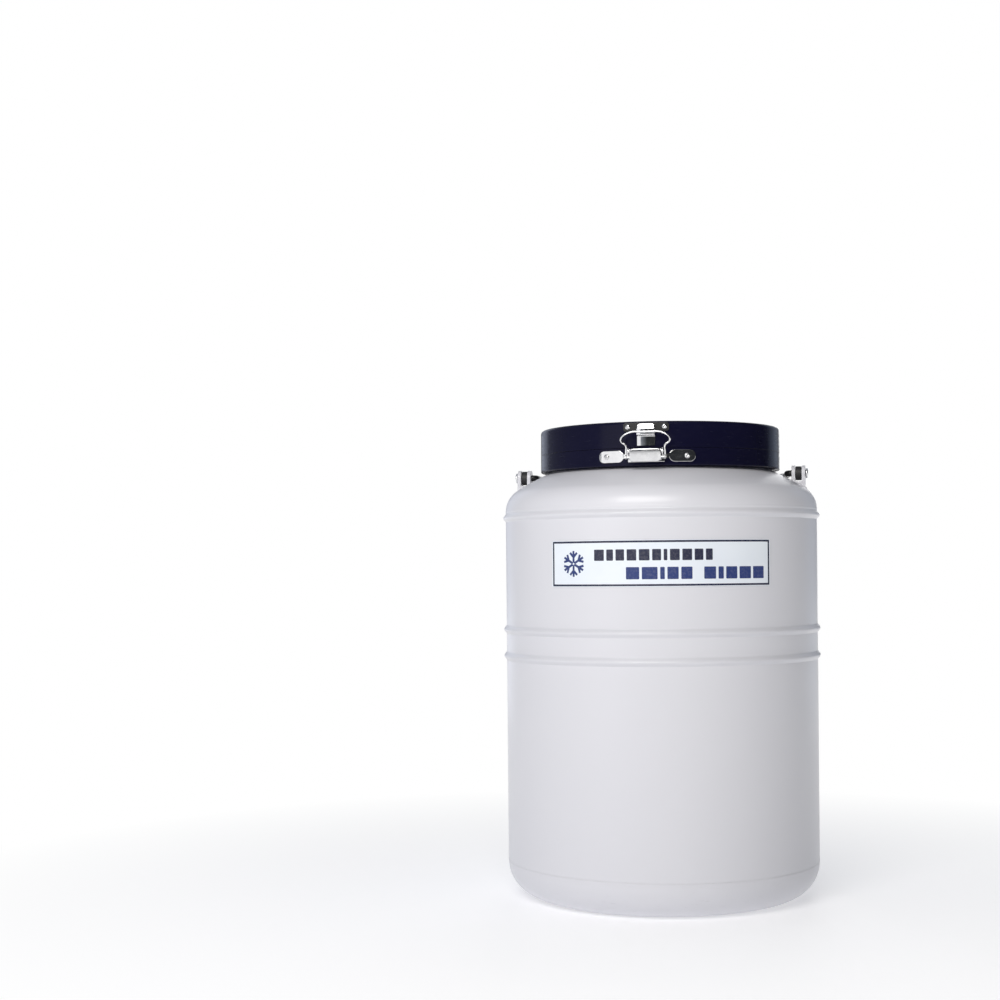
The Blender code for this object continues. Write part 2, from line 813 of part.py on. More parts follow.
def make_latch_loop():
    eye = 0.0026
    foot = Vector((0.0, *LINK_PIVOT))
    rise = Vector((0.0, *LOOP_BAR)) - foot
    right = [foot + rise * share + Vector((across, 0.0, 0.0)) for across, share in loop_route()]
    left = [Vector((-point.x, point.y, point.z)) for point in right]
    loop = tube_along("latch_loop", right + left[::-1], LOOP_WIRE, BRIGHT_STEEL)
    for side, word in ((-1, "left"), (1, "right")):
        low, high = sorted((side * (LOOP_X - 0.0010), side * (LOOP_X + 0.0010)))
        join(loop, drill_x("loop_eye_" + word, low, high, LINK_PIVOT, eye, sides=14))
    boolean(loop, drill_x("loop_eye_hole", -LATCH_WIDE, LATCH_WIDE, LINK_PIVOT, LINK_PIN + GAP, sides=10))


def make_keeper(lid_holes):
    """The plate on the lid whose upturned lip catches the loop's bar."""
    radii = (PLATE_INNER, PLATE_OUTER)
    half_hook = 0.0105
    tongue_heights = (0.5415, 0.5600)
    shelf_low = 0.5530
    front = -0.1540
    keeper = bent_plate("keeper", 0.0265, (0.5580, 0.5680), radii, 0.0, 0.003, BRIGHT_STEEL, strips=6)
    tongue = bent_plate(
        "keeper_tongue", half_hook, tongue_heights, radii, 0.0, strips=2, collection=CUTTERS
    )
    shelf = box(
        "keeper_shelf",
        (-half_hook, front + 0.0002, shelf_low),
        (half_hook, -PLATE_INNER - 0.0008, shelf_low + LATCH_SHEET),
        collection=CUTTERS,
    )
    lip = box(
        "keeper_lip",
        (-half_hook, front, shelf_low),
        (half_hook, front + 0.0014, 0.5610),
        collection=CUTTERS,
    )
    join(keeper, tongue, shelf, lip)
    boolean(keeper, lid_holes)


# The bail.


def bail_centre_line():
    """The right half of the bail from its end in the lug round to the back: bend, short leg, half circle."""
    corner = (BAIL_HALF_WIDTH + BAIL_BEND, BAIL_BEND)
    bend = arc(corner, BAIL_BEND, -pi / 2, -pi, 4)
    bow = arc((0.0, BAIL_LEG), BAIL_HALF_WIDTH, 0.0, pi / 2, 12)
    return [(BAIL_END, 0.0), *bend, *bow]


def make_bail():
    right = [(x, y, BAIL_HEIGHT) for x, y in bail_centre_line()]
    left = [(-x, y, z) for x, y, z in right[-2::-1]]
    tube_along("bail_rod", right + left, BAIL_ROD, BLACK_COATING)

    steps = 8
    grip_line = [
        (
            BAIL_HALF_WIDTH * sin(GRIP_HALF_ANGLE * (2 * i / steps - 1)),
            BAIL_LEG + BAIL_HALF_WIDTH * cos(GRIP_HALF_ANGLE * (2 * i / steps - 1)),
            BAIL_HEIGHT,
        )
        for i in range(steps + 1)
    ]
    grip = tube_along("bail_grip", grip_line, GRIP_RADIUS, BLACK_NYLON)
    first, last = [Vector(point) for point in (grip_line[0], grip_line[-1])]
    past_first = first + (first - Vector(grip_line[1])) * 0.5
    past_last = last + (last - Vector(grip_line[-2])) * 0.5
    bore_line = [past_first, *grip_line[1:-1], past_last]
    bore = tube_along("grip_bore", bore_line, BAIL_ROD + 0.0007, collection=CUTTERS)
    boolean(grip, bore)

    for side, word in ((-1, "left"), (1, "right")):
        slot_low = LUG_INNER + LUG_EAR + GAP
        slot_high = LUG_INNER + LUG_EAR + LUG_GAP - GAP
        low, high = sorted((side * slot_low, side * slot_high))
        bush = rod_x("bail_bush_" + word, low, high, 0.0, BAIL_HEIGHT, 0.0085, BLACK_NYLON, sides=20)
        outer = LUG_INNER + 2 * LUG_EAR + LUG_GAP + GAP
        low, high = sorted((side * outer, side * (outer + 0.0028)))
        cap = rod_x("bail_cap_" + word, low, high, 0.0, BAIL_HEIGHT, 0.0062, BRIGHT_STEEL, sides=12)
        ends = sorted((side * BAIL_HALF_WIDTH, side * (SHELL_RADIUS + 0.005)))
        bore = drill_x("bail_bore_" + word, *ends, (0.0, BAIL_HEIGHT), BAIL_ROD + GAP, sides=16)
        boolean(bush, bore)
        boolean(cap, bore)


def hang(pivot_name, axis_point, names):
    """Parents the pieces of one moving body to an empty on its joint's axis."""
    pivot = bpy.data.objects.new(pivot_name, None)
    pivot.location = axis_point
    PARTS.objects.link(pivot)
    for name in names:
        piece = bpy.data.objects[name]
        piece.parent = pivot
        piece.matrix_parent_inverse = Matrix.Translation(-Vector(axis_point))


def hang_moving_pieces():
    lid_pieces = ["lid_shell", "lid_base_ring", "neck_plug", "hinge_leaf_upper", "keeper"]
    lid_pieces += [name for name, _, _, body in screw_places() if body == "lid"]
    hang("lid_axis", (0.0, HINGE_Y, PARTING), lid_pieces)
    hang("lever_axis", (0.0, *LATCH_PIVOT), ["latch_lever"])
    hang("link_axis", (0.0, *LINK_PIVOT), ["latch_link_pin", "latch_loop"])
    bail_pieces = ["bail_rod", "bail_grip", "bail_cap_left", "bail_cap_right"]
    hang("bail_axis", (0.0, 0.0, BAIL_HEIGHT), bail_pieces)


def main():
    make_outer_shell()
    make_base_pan()
    make_shoulder_head()
    make_lugs()
    make_label()
    make_neck()
    make_inner_vessel()
    make_insulation()
    make_getter()
    make_absorbent()
    make_chamber_liner()
    make_vacuum_port()
    lid_holes = screw_holes("lid_screw_holes", "lid")
    collar_holes = screw_holes("collar_screw_holes", "collar")
    make_collar(collar_holes)
    make_lid(lid_holes)
    make_screws()
    make_hinge(lid_holes, collar_holes)
    make_latch_base(collar_holes)
    make_latch_lever()
    make_latch_loop()
    make_keeper(lid_holes)
    make_bail()
    hang_moving_pieces()


main()
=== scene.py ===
"""The looks of a liquid nitrogen dry shipper: fine surfaces, materials, camera, floor and light."""

from math import asin, atan2, ceil, cos, hypot, pi, radians, sin, sqrt, tan

import bmesh
import bpy
from mathutils import Matrix, Vector


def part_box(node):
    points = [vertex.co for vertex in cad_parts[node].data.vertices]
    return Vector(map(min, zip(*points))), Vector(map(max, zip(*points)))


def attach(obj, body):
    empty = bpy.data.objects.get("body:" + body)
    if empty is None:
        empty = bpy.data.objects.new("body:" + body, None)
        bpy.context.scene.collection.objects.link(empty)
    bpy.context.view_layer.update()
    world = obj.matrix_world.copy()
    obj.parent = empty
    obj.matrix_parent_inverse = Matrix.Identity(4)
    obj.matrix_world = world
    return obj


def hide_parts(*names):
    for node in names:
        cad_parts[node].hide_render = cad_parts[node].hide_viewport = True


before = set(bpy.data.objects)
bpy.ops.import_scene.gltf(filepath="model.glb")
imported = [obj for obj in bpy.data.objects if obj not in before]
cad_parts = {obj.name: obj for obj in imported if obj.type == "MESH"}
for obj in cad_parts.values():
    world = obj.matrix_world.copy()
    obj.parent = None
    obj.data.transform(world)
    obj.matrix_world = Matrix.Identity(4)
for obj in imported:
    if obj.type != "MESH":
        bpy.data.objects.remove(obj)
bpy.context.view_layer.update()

# Sizes read from the frame, in metres.
SHELL_LOW, SHELL_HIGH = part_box("outer_shell")
SHELL_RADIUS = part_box("base_pan")[1].x
BEAD_PROUD = SHELL_HIGH.x - SHELL_RADIUS
NECK_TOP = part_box("neck_tube")[1].z
NECK_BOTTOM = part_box("neck_tube")[0].z
NECK_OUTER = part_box("neck_tube")[1].x
CLOSURE_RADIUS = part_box("lid_shell")[1].x
CLOSURE_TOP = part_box("lid_shell")[1].z
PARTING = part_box("neck_collar")[1].z
LID_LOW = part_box("lid_shell")[0].z
PLUG_LOW, PLUG_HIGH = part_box("neck_plug")
LINER_LOW, LINER_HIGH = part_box("chamber_liner")
LINER_RADIUS = LINER_HIGH.x
PACK_LOW, PACK_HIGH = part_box("absorbent_pack")
BAIL_LOW, BAIL_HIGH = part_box("bail_rod")
BAIL_HEIGHT = (BAIL_LOW.z + BAIL_HIGH.z) / 2
BAIL_ROD = (BAIL_HIGH.z - BAIL_LOW.z) / 2
LABEL_LOW, LABEL_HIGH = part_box("label_plate")

# Sizes that no box shows.
SHEET = 0.002
BASE_CORNER = 0.043
FOOT_INNER = 0.132
BASE_RECESS = 0.008
HEAD_START = 0.471
KNUCKLE = 0.030
KNUCKLE_TURN = radians(58)
BEAD_HEIGHTS = (0.463, 0.3265, 0.294)
BEAD_HALF = 0.0056
COLLAR_LOW = 0.5185
BOSS_RADIUS = 0.138
NECK_WALL = 0.0025
CROWN_RADIUS = (SHELL_RADIUS - KNUCKLE + KNUCKLE * cos(KNUCKLE_TURN)) / cos(KNUCKLE_TURN)
CROWN_CENTRE = HEAD_START + KNUCKLE * sin(KNUCKLE_TURN) - CROWN_RADIUS * sin(KNUCKLE_TURN)
BAIL_HALF_WIDTH = 0.1553
BAIL_LEG = 0.020
BAIL_BEND = 0.005
GRIP_RADIUS = 0.008
GRIP_HALF_ANGLE = radians(21)
LABEL_FACES = radians(6)
LABEL_HALF_ARC = 0.1354
PLUG_HIGH_RADIUS = 0.1055
PLUG_END_RADIUS = 0.0925
HINGE_Y = 0.1515
HINGE_CURL = 0.0035
HINGE_INNER, HINGE_OUTER = 0.006, 0.016
LATCH_PIVOT = (-0.1545, 0.5345)
LINK_PIVOT = (-0.1535, 0.528)
LOOP_BAR = (-0.1565, 0.557)
PLATE_INNER = CLOSURE_RADIUS + 0.0003
PLATE_THICK = 0.0015
LATCH_LOW, LATCH_HIGH = 0.5225, 0.5365
LUG_HALF = 0.0095
LUG_SUNK = 0.001
FILM_LIFT, FILM_THICK = 0.00015, 0.00055
INK_LIFT, INK_THICK = 0.0007, 0.00006
SEAT_GAP = 0.0003

# How finely curves are divided, and the angle above which an edge stays sharp.
STEPS = 160
VESSEL_STEPS = 224
FINE_TURN = radians(14)
CREASE = radians(32)


# Geometry helpers.


def as_mesh(bm, name):
    """The finished mesh of built geometry, which is freed."""
    mesh = bpy.data.meshes.new(name)
    bm.to_mesh(mesh)
    bm.free()
    return mesh


def put(obj):
    bpy.context.scene.collection.objects.link(obj)


def settle(name, bm, finish, body, replaced=(), placing=None):
    """Makes the piece, smooth-shaded with creases and flat fields, with its finish, on its body, and hides
    the CAD nodes it stands for.
    """
    bmesh.ops.recalc_face_normals(bm, faces=bm.faces)
    if bm.calc_volume(signed=True) < 0:
        bmesh.ops.reverse_faces(bm, faces=bm.faces)
    mesh = as_mesh(bm, name)
    mesh.shade_smooth()
    mesh.set_sharp_from_angle(angle=CREASE)
    mesh.materials.append(finish)
    obj = bpy.data.objects.new(name, mesh)
    if placing is not None:
        obj.matrix_world = placing
    put(obj)
    obj.modifiers.new("flat_fields", "WEIGHTED_NORMAL").keep_sharp = True
    if body:
        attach(obj, body)
    if replaced:
        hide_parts(*replaced)
    return obj


def rounded(corners, closed=True):
    """The outline through corners of (across, up, fillet radius), with each corner rounded."""
    points = []
    count = len(corners)
    for i, (across, up, radius) in enumerate(corners):
        here = Vector((across, up))
        if radius <= 0 or (not closed and i in (0, count - 1)):
            points.append(here)
            continue
        before = Vector(corners[i - 1][:2])
        after = Vector(corners[(i + 1) % count][:2])
        into = (here - before).normalized()
        out = (after - here).normalized()
        turn = atan2(into.x * out.y - into.y * out.x, into.dot(out))
        start = here - into * radius * tan(abs(turn) / 2)
        side = 1 if turn > 0 else -1
        centre = start + Vector((-into.y, into.x)) * radius * side
        segments = max(2, ceil(abs(turn) / FINE_TURN))
        for k in range(segments + 1):
            spoke = start - centre
            spoke.rotate(Matrix.Rotation(turn * k / segments, 2))
            points.append(centre + spoke)
    return points


def rounded_box(x_low, x_high, y_low, y_high, radius):
    """The outline of a rectangle whose corners share one radius."""
    corners = ((x_low, y_low), (x_high, y_low), (x_high, y_high), (x_low, y_high))
    return rounded([(x, y, radius) for x, y in corners])


def arc(centre, radius, start, end, segments):
    """Points of a circle's arc, from its start angle to its end angle."""
    turn = (end - start) / segments
    return [
        (centre[0] + radius * cos(start + turn * i), centre[1] + radius * sin(start + turn * i))
        for i in range(segments + 1)
    ]


def lathe(outline, steps=STEPS, ring=True):
    """Turns (radius, height) points about Z. A point on the axis becomes one vertex."""
    bm = bmesh.new()
    circles = []
    for radius, height in outline:
        if radius < 1e-6:
            circles.append([bm.verts.new((0.0, 0.0, height))])
            continue
        turns = [2 * pi * i / steps for i in range(steps)]
        circles.append([bm.verts.new((radius * cos(a), radius * sin(a), height)) for a in turns])
    pairs = list(zip(circles, circles[1:]))
    if ring:
        pairs.append((circles[-1], circles[0]))
    for low, high in pairs:
        for i in range(steps):
            j = i + 1
            corners = (low[i % len(low)], low[j % len(low)], high[j % len(high)], high[i % len(high)])
            corners = list(dict.fromkeys(corners))
            if len(corners) > 2:
                bm.faces.new(corners)
    return bm


def slab(outline, depth, edge, segments=2, both=False):
    """A flat piece: its outline in X and Y, from z = 0 up to its depth, with rounded rims."""
    bm = bmesh.new()
    floor, roof = [[bm.verts.new((x, y, z)) for x, y in outline] for z in (0.0, depth)]
    bm.faces.new(floor)
    bm.faces.new(roof)
    for i in range(len(outline)):
        bm.faces.new((floor[i - 1], floor[i], roof[i], roof[i - 1]))
    bmesh.ops.recalc_face_normals(bm, faces=bm.faces)
    levels = (0.0, depth) if both else (depth,)
    rims = [e for e in bm.edges for z in levels if all(abs(v.co.z - z) < 1e-7 for v in e.verts)]
    if edge:
        bmesh.ops.bevel(bm, geom=rims, offset=edge, segments=segments, affect="EDGES", profile=0.5)
    return bm


def stand(bm, x_low):
    """Stands a flat piece up in the YZ plane, with its depth along X from here."""
    for vertex in bm.verts:
        vertex.co = (x_low + vertex.co.z, vertex.co.x, vertex.co.y)
    return bm


def cut_in_strips(bm, spacing):
    """Adds cuts across X, so that a long face can be rolled smoothly."""
    reach = max(abs(vertex.co.x) for vertex in bm.verts)
    count = ceil(reach / spacing)
    for i in range(-count + 1, count):
        bmesh.ops.bisect_plane(
            bm,
            geom=bm.verts[:] + bm.edges[:] + bm.faces[:],
            plane_co=(reach * i / count, 0.0, 0.0),
            plane_no=(1.0, 0.0, 0.0),
        )
    return bm


def roll(bm, radius, facing):
    """Rolls a flat piece round the wall: X runs along the arc, Y up, Z outward from the radius."""
    cut_in_strips(bm, 0.004)
    for vertex in bm.verts:
        angle = facing + vertex.co.x / radius
        out = radius + vertex.co.z
        vertex.co = (out * sin(angle), -out * cos(angle), vertex.co.y)
    return bm


def sweep(points, radii, sides=20):
    """A round bar along points, with its own radius at each, and closed ends."""
    bm = bmesh.new()
    last = len(points) - 1
    side = None
    circles = []
    for i, point in enumerate(points):
        ahead = (points[min(i + 1, last)] - points[max(i - 1, 0)]).normalized()
        side = ahead.orthogonal() if side is None else side
        side = (side - ahead * side.dot(ahead)).normalized()
        up = ahead.cross(side)
        turns = [2 * pi * k / sides for k in range(sides)]
        circles.append([bm.verts.new(point + (side * cos(a) + up * sin(a)) * radii[i]) for a in turns])
    for low, high in zip(circles, circles[1:]):
        for k in range(sides):
            bm.faces.new((low[k - 1], low[k], high[k], high[k - 1]))
    bm.faces.new(circles[0])
    bm.faces.new(circles[-1])
    return bm


def bar(radius, length, edge, steps=32):
    """A round bar along Z from 0 to its length, with rounded ends."""
    outline = rounded([(0, 0, 0), (radius, 0, edge), (radius, length, edge), (0, length, 0)], closed=False)
    return lathe(outline, steps, ring=False)


def along_x(x_low, y, z):
    """Placing for a bar that starts at this point and runs along +X."""
    return Matrix.Translation((x_low, y, z)) @ Matrix.Rotation(pi / 2, 4, "Y")


def outward(angle, radius, height):
    """Placing for a piece on the round wall: its Z points out at this angle from the front, its Y up."""
    normal = Vector((sin(angle), -cos(angle), 0.0))
    along = Vector((cos(angle), sin(angle), 0.0))
    turn = Matrix((along, (0.0, 0.0, 1.0), normal)).transposed().to_4x4()
    return Matrix.Translation(normal * radius + Vector((0.0, 0.0, height))) @ turn


def merge(target, *others):
    """Adds other pieces of mesh to the first."""
    for other in others:
        mesh = as_mesh(other, "merged")
        target.from_mesh(mesh)
        bpy.data.meshes.remove(mesh)
    return target


def cut(obj, cutter_bm):
    """Cuts a shape out of a piece for good."""
    bmesh.ops.recalc_face_normals(cutter_bm, faces=cutter_bm.faces)
    cutter = bpy.data.objects.new("cutter", as_mesh(cutter_bm, "cutter"))
    put(cutter)
    modifier = obj.modifiers.new("cut", "BOOLEAN")
    modifier.operation = "DIFFERENCE"
    modifier.object = cutter
    graph = bpy.context.evaluated_depsgraph_get()
    made = bpy.data.meshes.new_from_object(obj.evaluated_get(graph))
    obj.modifiers.clear()
    obj.data = made
    made.set_sharp_from_angle(angle=CREASE)
    bpy.data.objects.remove(cutter, do_unlink=True)


# Material helpers.

EVEN = (1.0, 1.0, 1.0)


def new_finish(name, colour, roughness, metallic=0.0, specular=0.5):
    made = bpy.data.materials.new(name)
    made.use_nodes = True
    shader = made.node_tree.nodes["Principled BSDF"]
    shader.inputs["Base Color"].default_value = (*colour, 1.0)
    shader.inputs["Roughness"].default_value = roughness
    shader.inputs["Metallic"].default_value = metallic
    shader.inputs["Specular IOR Level"].default_value = specular
    made.diffuse_color = (*colour, 1.0)
    return made


def add(tree, kind, settings=(), **inputs):
    """One new node, with its settings and its inputs given as values or linked from sockets."""
    node = tree.nodes.new("ShaderNode" + kind)
    for name, value in dict(settings).items():
        setattr(node, name, value)
    for name, value in inputs.items():
        socket = node.inputs[name.replace("_", " ")]
        if isinstance(value, bpy.types.NodeSocket):
            tree.links.new(value, socket)
        else:
            socket.default_value = value
    return node


def stretched(tree, stretch):
    """Object coordinates, stretched along each axis."""
    where = add(tree, "TexCoord").outputs["Object"]
    return add(tree, "Mapping", Vector=where, Scale=stretch).outputs["Vector"]


def noise(tree, scale, detail=2.0, stretch=EVEN, rough=0.5):
    made = add(tree, "TexNoise", Vector=stretched(tree, stretch), Scale=scale, Detail=detail, Roughness=rough)
    return made.outputs["Fac"]


def spread(tree, value, start, end, low, high):
    """Maps a value from one range to another and keeps it there."""
    made = add(tree, "MapRange", Value=value, From_Min=start, From_Max=end, To_Min=low, To_Max=high)
    return made.outputs["Result"]


def blend_colours(tree, share, first, second):
    made = add(tree, "Mix", {"data_type": "RGBA"}, Factor=share)
    for socket, value in ((made.inputs[6], first), (made.inputs[7], second)):
        if isinstance(value, bpy.types.NodeSocket):
            tree.links.new(value, socket)
        else:
            socket.default_value = (*value, 1.0)
    return made.outputs[2]


def set_input(finish, name, source):
    tree = finish.node_tree
    tree.links.new(source, tree.nodes["Principled BSDF"].inputs[name])


def mottle(finish, scale, detail, first, second, start=0.3, end=0.7, rough=0.5):
    """Mottles the base colour between two colours."""
    tree = finish.node_tree
    share = spread(tree, noise(tree, scale, detail, rough=rough), start, end, 0.0, 1.0)
    set_input(finish, "Base Color", blend_colours(tree, share, first, second))


def vary_roughness(finish, scale, detail, low, high, start=0.3, end=0.7, stretch=EVEN, rough=0.5):
    """Mottles the roughness between two values."""
    tree = finish.node_tree
    varied = spread(tree, noise(tree, scale, detail, stretch, rough), start, end, low, high)
    set_input(finish, "Roughness", varied)


def add_bump(finish, *layers):
    """Stacks bump layers of (height socket, strength, distance in metres)."""
    tree = finish.node_tree
    normal = None
    for height, strength, distance in layers:
        bump = add(tree, "Bump", Height=height, Strength=strength, Distance=distance)
        if normal is not None:
            tree.links.new(normal, bump.inputs["Normal"])
        normal = bump.outputs["Normal"]
    set_input(finish, "Normal", normal)


# Materials.


def white_paint():
    """Satin white enamel: faint mottling, orange peel and scuffs low down."""
    finish = new_finish("white_paint", (0.66, 0.66, 0.695), 0.30, specular=0.45)
    tree = finish.node_tree
    broad = spread(tree, noise(tree, 4.0, 2.0, (1.0, 1.0, 0.5)), 0.2, 0.8, 0.0, 1.0)
    clean = blend_colours(tree, broad, (0.656, 0.658, 0.706), (0.676, 0.678, 0.716))
    height = add(tree, "SeparateXYZ", Vector=add(tree, "TexCoord").outputs["Object"]).outputs["Z"]
    low_down = spread(tree, height, 0.0, 0.05, 0.55, 0.0)
    scratches = spread(tree, noise(tree, 60.0, 6.0, (1.0, 1.0, 6.0), 0.7), 0.60, 0.72, 0.0, 0.5)
    worn = add(tree, "Math", {"operation": "MULTIPLY"})
    tree.links.new(low_down, worn.inputs[0])
    tree.links.new(scratches, worn.inputs[1])
    set_input(finish, "Base Color", blend_colours(tree, worn.outputs[0], clean, (0.33, 0.33, 0.35)))
    vary_roughness(finish, 22.0, 3.0, 0.26, 0.35, 0.1, 0.9)
    add_bump(
        finish,
        (noise(tree, 9.0, 0.0, (1.0, 1.0, 0.6)), 0.15, 0.0012),
        (noise(tree, 520.0, 1.0), 0.10, 0.0002),
    )
    return finish


def navy_plastic():
    """Glossy moulded plastic, nearly black, with a fine grain and hairline rub marks."""
    finish = new_finish("navy_plastic", (0.005, 0.005, 0.020), 0.2, specular=0.14)
    tree = finish.node_tree
    mottle(finish, 14.0, 3.0, (0.0042, 0.0042, 0.0170), (0.0062, 0.0060, 0.0225))
    vary_roughness(finish, 90.0, 6.0, 0.16, 0.34, 0.45, 0.75, (1.0, 1.0, 5.0), 0.65)
    add_bump(
        finish,
        (noise(tree, 9.0, 0.0), 0.12, 0.0006),
        (noise(tree, 900.0, 2.0), 0.08, 0.0001),
    )
    return finish


def bright_steel():
    """Polished stainless sheet with fine drawing lines."""
    finish = new_finish("bright_steel", (0.80, 0.80, 0.81), 0.14, 1.0)
    tree = finish.node_tree
    mottle(finish, 90.0, 2.0, (0.74, 0.74, 0.755), (0.84, 0.84, 0.845))
    vary_roughness(finish, 160.0, 4.0, 0.05, 0.13, 0.3, 0.75)
    add_bump(finish, (noise(tree, 700.0, 2.0, (0.12, 0.12, 1.0)), 0.03, 0.00005))
    return finish


def black_coating():
    """Black dipped coating on steel, slightly lumpy and scuffed."""
    finish = new_finish("black_coating", (0.012, 0.012, 0.013), 0.4, specular=0.4)
    tree = finish.node_tree
    scuffs = spread(tree, noise(tree, 130.0, 5.0, EVEN, 0.7), 0.58, 0.72, 0.0, 0.6)
    set_input(finish, "Base Color", blend_colours(tree, scuffs, (0.010, 0.010, 0.011), (0.045, 0.045, 0.048)))
    vary_roughness(finish, 80.0, 3.0, 0.28, 0.50)
    add_bump(finish, (noise(tree, 420.0, 2.0), 0.25, 0.0002))
    return finish


def black_nylon():
    """Moulded nylon with a matt grain."""
    finish = new_finish("black_nylon", (0.016, 0.016, 0.017), 0.5, specular=0.4)
    tree = finish.node_tree
    mottle(finish, 45.0, 3.0, (0.012, 0.012, 0.013), (0.024, 0.024, 0.026))
    vary_roughness(finish, 300.0, 3.0, 0.42, 0.62)
    add_bump(finish, (noise(tree, 1500.0, 2.0), 0.30, 0.0001))
    return finish


def bare_aluminium():
    """Rolled aluminium: soft gloss, lines along the sheet and light stains."""
    finish = new_finish("bare_aluminium", (0.74, 0.745, 0.75), 0.34, 1.0)
    tree = finish.node_tree
    mottle(finish, 16.0, 5.0, (0.77, 0.775, 0.78), (0.66, 0.665, 0.675), 0.35, 0.7, 0.6)
    vary_roughness(finish, 220.0, 4.0, 0.26, 0.46, stretch=(1.0, 1.0, 0.08))
    add_bump(finish, (noise(tree, 1300.0, 1.0, (1.0, 1.0, 0.05)), 0.18, 0.00008))
    return finish


def weave(tree, scale):
    """Two crossed bands of threads, as a height."""
    crossed = add(tree, "Math", {"operation": "MULTIPLY"})
    for socket, direction in zip(crossed.inputs, ("Z", "DIAGONAL")):
        threads = {"Scale": scale, "Distortion": 0.6, "Detail_Scale": 3.0, "Vector": stretched(tree, EVEN)}
        wave = add(tree, "TexWave", {"bands_direction": direction}, **threads)
        tree.links.new(wave.outputs["Fac"], socket)
    return crossed.outputs[0]


def glass_fibre():
    """Pale amber glass-fibre laminate whose cloth shows through its resin."""
    finish = new_finish("glass_fibre", (0.56, 0.50, 0.33), 0.35)
    tree = finish.node_tree
    cloth = weave(tree, 160.0)
    set_input(finish, "Base Color", blend_colours(tree, cloth, (0.47, 0.41, 0.25), (0.64, 0.59, 0.41)))
    vary_roughness(finish, 60.0, 3.0, 0.26, 0.46)
    add_bump(finish, (cloth, 0.35, 0.00015), (noise(tree, 40.0, 2.0), 0.2, 0.0003))
    return finish


def foam():
    """Cream closed-cell foam with a cut surface."""
    finish = new_finish("foam", (0.80, 0.78, 0.70), 0.85, specular=0.25)
    tree = finish.node_tree
    cells = add(tree, "TexVoronoi", Vector=stretched(tree, EVEN), Scale=520.0).outputs["Distance"]
    mottle(finish, 30.0, 4.0, (0.76, 0.735, 0.64), (0.83, 0.815, 0.74))
    set_input(finish, "Roughness", spread(tree, cells, 0.0, 0.8, 0.72, 0.95))
    add_bump(finish, (cells, 0.6, 0.0004), (noise(tree, 35.0, 2.0), 0.3, 0.0008))
    return finish


def crinkled_foil():
    """Aluminised film, creased all over, with painted shade darkening the creases."""
    finish = new_finish("foil", (0.80, 0.80, 0.81), 0.28, 1.0)
    tree = finish.node_tree
    edges = {"feature": "DISTANCE_TO_EDGE"}
    crease = add(tree, "TexVoronoi", edges, Vector=stretched(tree, EVEN), Scale=70.0)
    height = crease.outputs["Distance"]
    set_input(finish, "Roughness", spread(tree, height, 0.0, 0.3, 0.45, 0.22))
    # Painted shade: the base colour is darker along the creases, where shade falls; the lighter colour away
    # from them is the foil's own.
    set_input(finish, "Base Color", blend_colours(tree, height, (0.62, 0.62, 0.64), (0.84, 0.84, 0.85)))
    add_bump(finish, (height, 0.8, 0.002))
    return finish


def fibrous(name, dark, light):
    """Felted mineral fibre."""
    finish = new_finish(name, light, 0.95, specular=0.15)
    tree = finish.node_tree
    strands = noise(tree, 260.0, 6.0, (1.0, 1.0, 0.25), 0.75)
    share = spread(tree, strands, 0.35, 0.65, 0.0, 1.0)
    set_input(finish, "Base Color", blend_colours(tree, share, dark, light))
    set_input(finish, "Roughness", spread(tree, strands, 0.3, 0.7, 0.85, 1.0))
    add_bump(finish, (strands, 0.7, 0.0008))
    return finish


def label_film():
    """White vinyl film with a soft sheen."""
    finish = new_finish("label_film", (0.76, 0.81, 0.88), 0.35)
    tree = finish.node_tree
    mottle(finish, 18.0, 3.0, (0.74, 0.79, 0.86), (0.78, 0.83, 0.89))
    vary_roughness(finish, 70.0, 3.0, 0.30, 0.44)
    add_bump(finish, (noise(tree, 25.0, 1.0), 0.15, 0.0003))
    return finish


def ink(name, colour):
    """Screen-printed ink with a slightly uneven film."""
    finish = new_finish(name, colour, 0.4)
    tree = finish.node_tree
    thin = spread(tree, noise(tree, 400.0, 4.0), 0.45, 0.8, 0.0, 0.35)
    lighter = tuple(0.7 * value + 0.15 for value in colour)
    set_input(finish, "Base Color", blend_colours(tree, thin, colour, lighter))
    vary_roughness(finish, 120.0, 2.0, 0.34, 0.5)
    add_bump(finish, (noise(tree, 900.0, 1.0), 0.1, 0.00005))
    return finish


PAINT = white_paint()
NAVY = navy_plastic()
STEEL = bright_steel()
COATING = black_coating()
NYLON = black_nylon()
ALUMINIUM = bare_aluminium()
GLASS_FIBRE = glass_fibre()
FOAM = foam()
FOIL = crinkled_foil()
FELT = fibrous("absorbent_felt", (0.66, 0.64, 0.58), (0.88, 0.87, 0.83))
GETTER = fibrous("getter_felt", (0.25, 0.24, 0.22), (0.45, 0.43, 0.40))
VINYL = label_film()
NAVY_INK = ink("navy_ink", (0.016, 0.035, 0.16))
DARK_INK = ink("dark_ink", (0.012, 0.014, 0.045))


# The outer vessel.


def dome_height(radius):
    """Height of the head's outer surface at this distance from the axis."""
    knuckle_start = SHELL_RADIUS - KNUCKLE + KNUCKLE * cos(KNUCKLE_TURN)
    if radius < knuckle_start:
        return CROWN_CENTRE + sqrt(CROWN_RADIUS**2 - radius**2)
    return HEAD_START + sqrt(KNUCKLE**2 - (radius - SHELL_RADIUS + KNUCKLE) ** 2)


def bead_outline(height):
    """One rolled bead, top to bottom, that swells smoothly out of the wall."""
    points = []
    for i in range(17):
        share = 1 - i / 8
        swell = BEAD_PROUD * (0.5 + 0.5 * cos(pi * share)) ** 0.8
        points.append((SHELL_RADIUS + swell, height + BEAD_HALF * share))
    return points


def weld(radius, height, half=0.0016, proud=0.0002):
    """The low painted ridge of a girth weld, top to bottom."""
    return [(radius + proud * cos(pi * s / 8), height - half * s / 4) for s in range(-4, 5)]


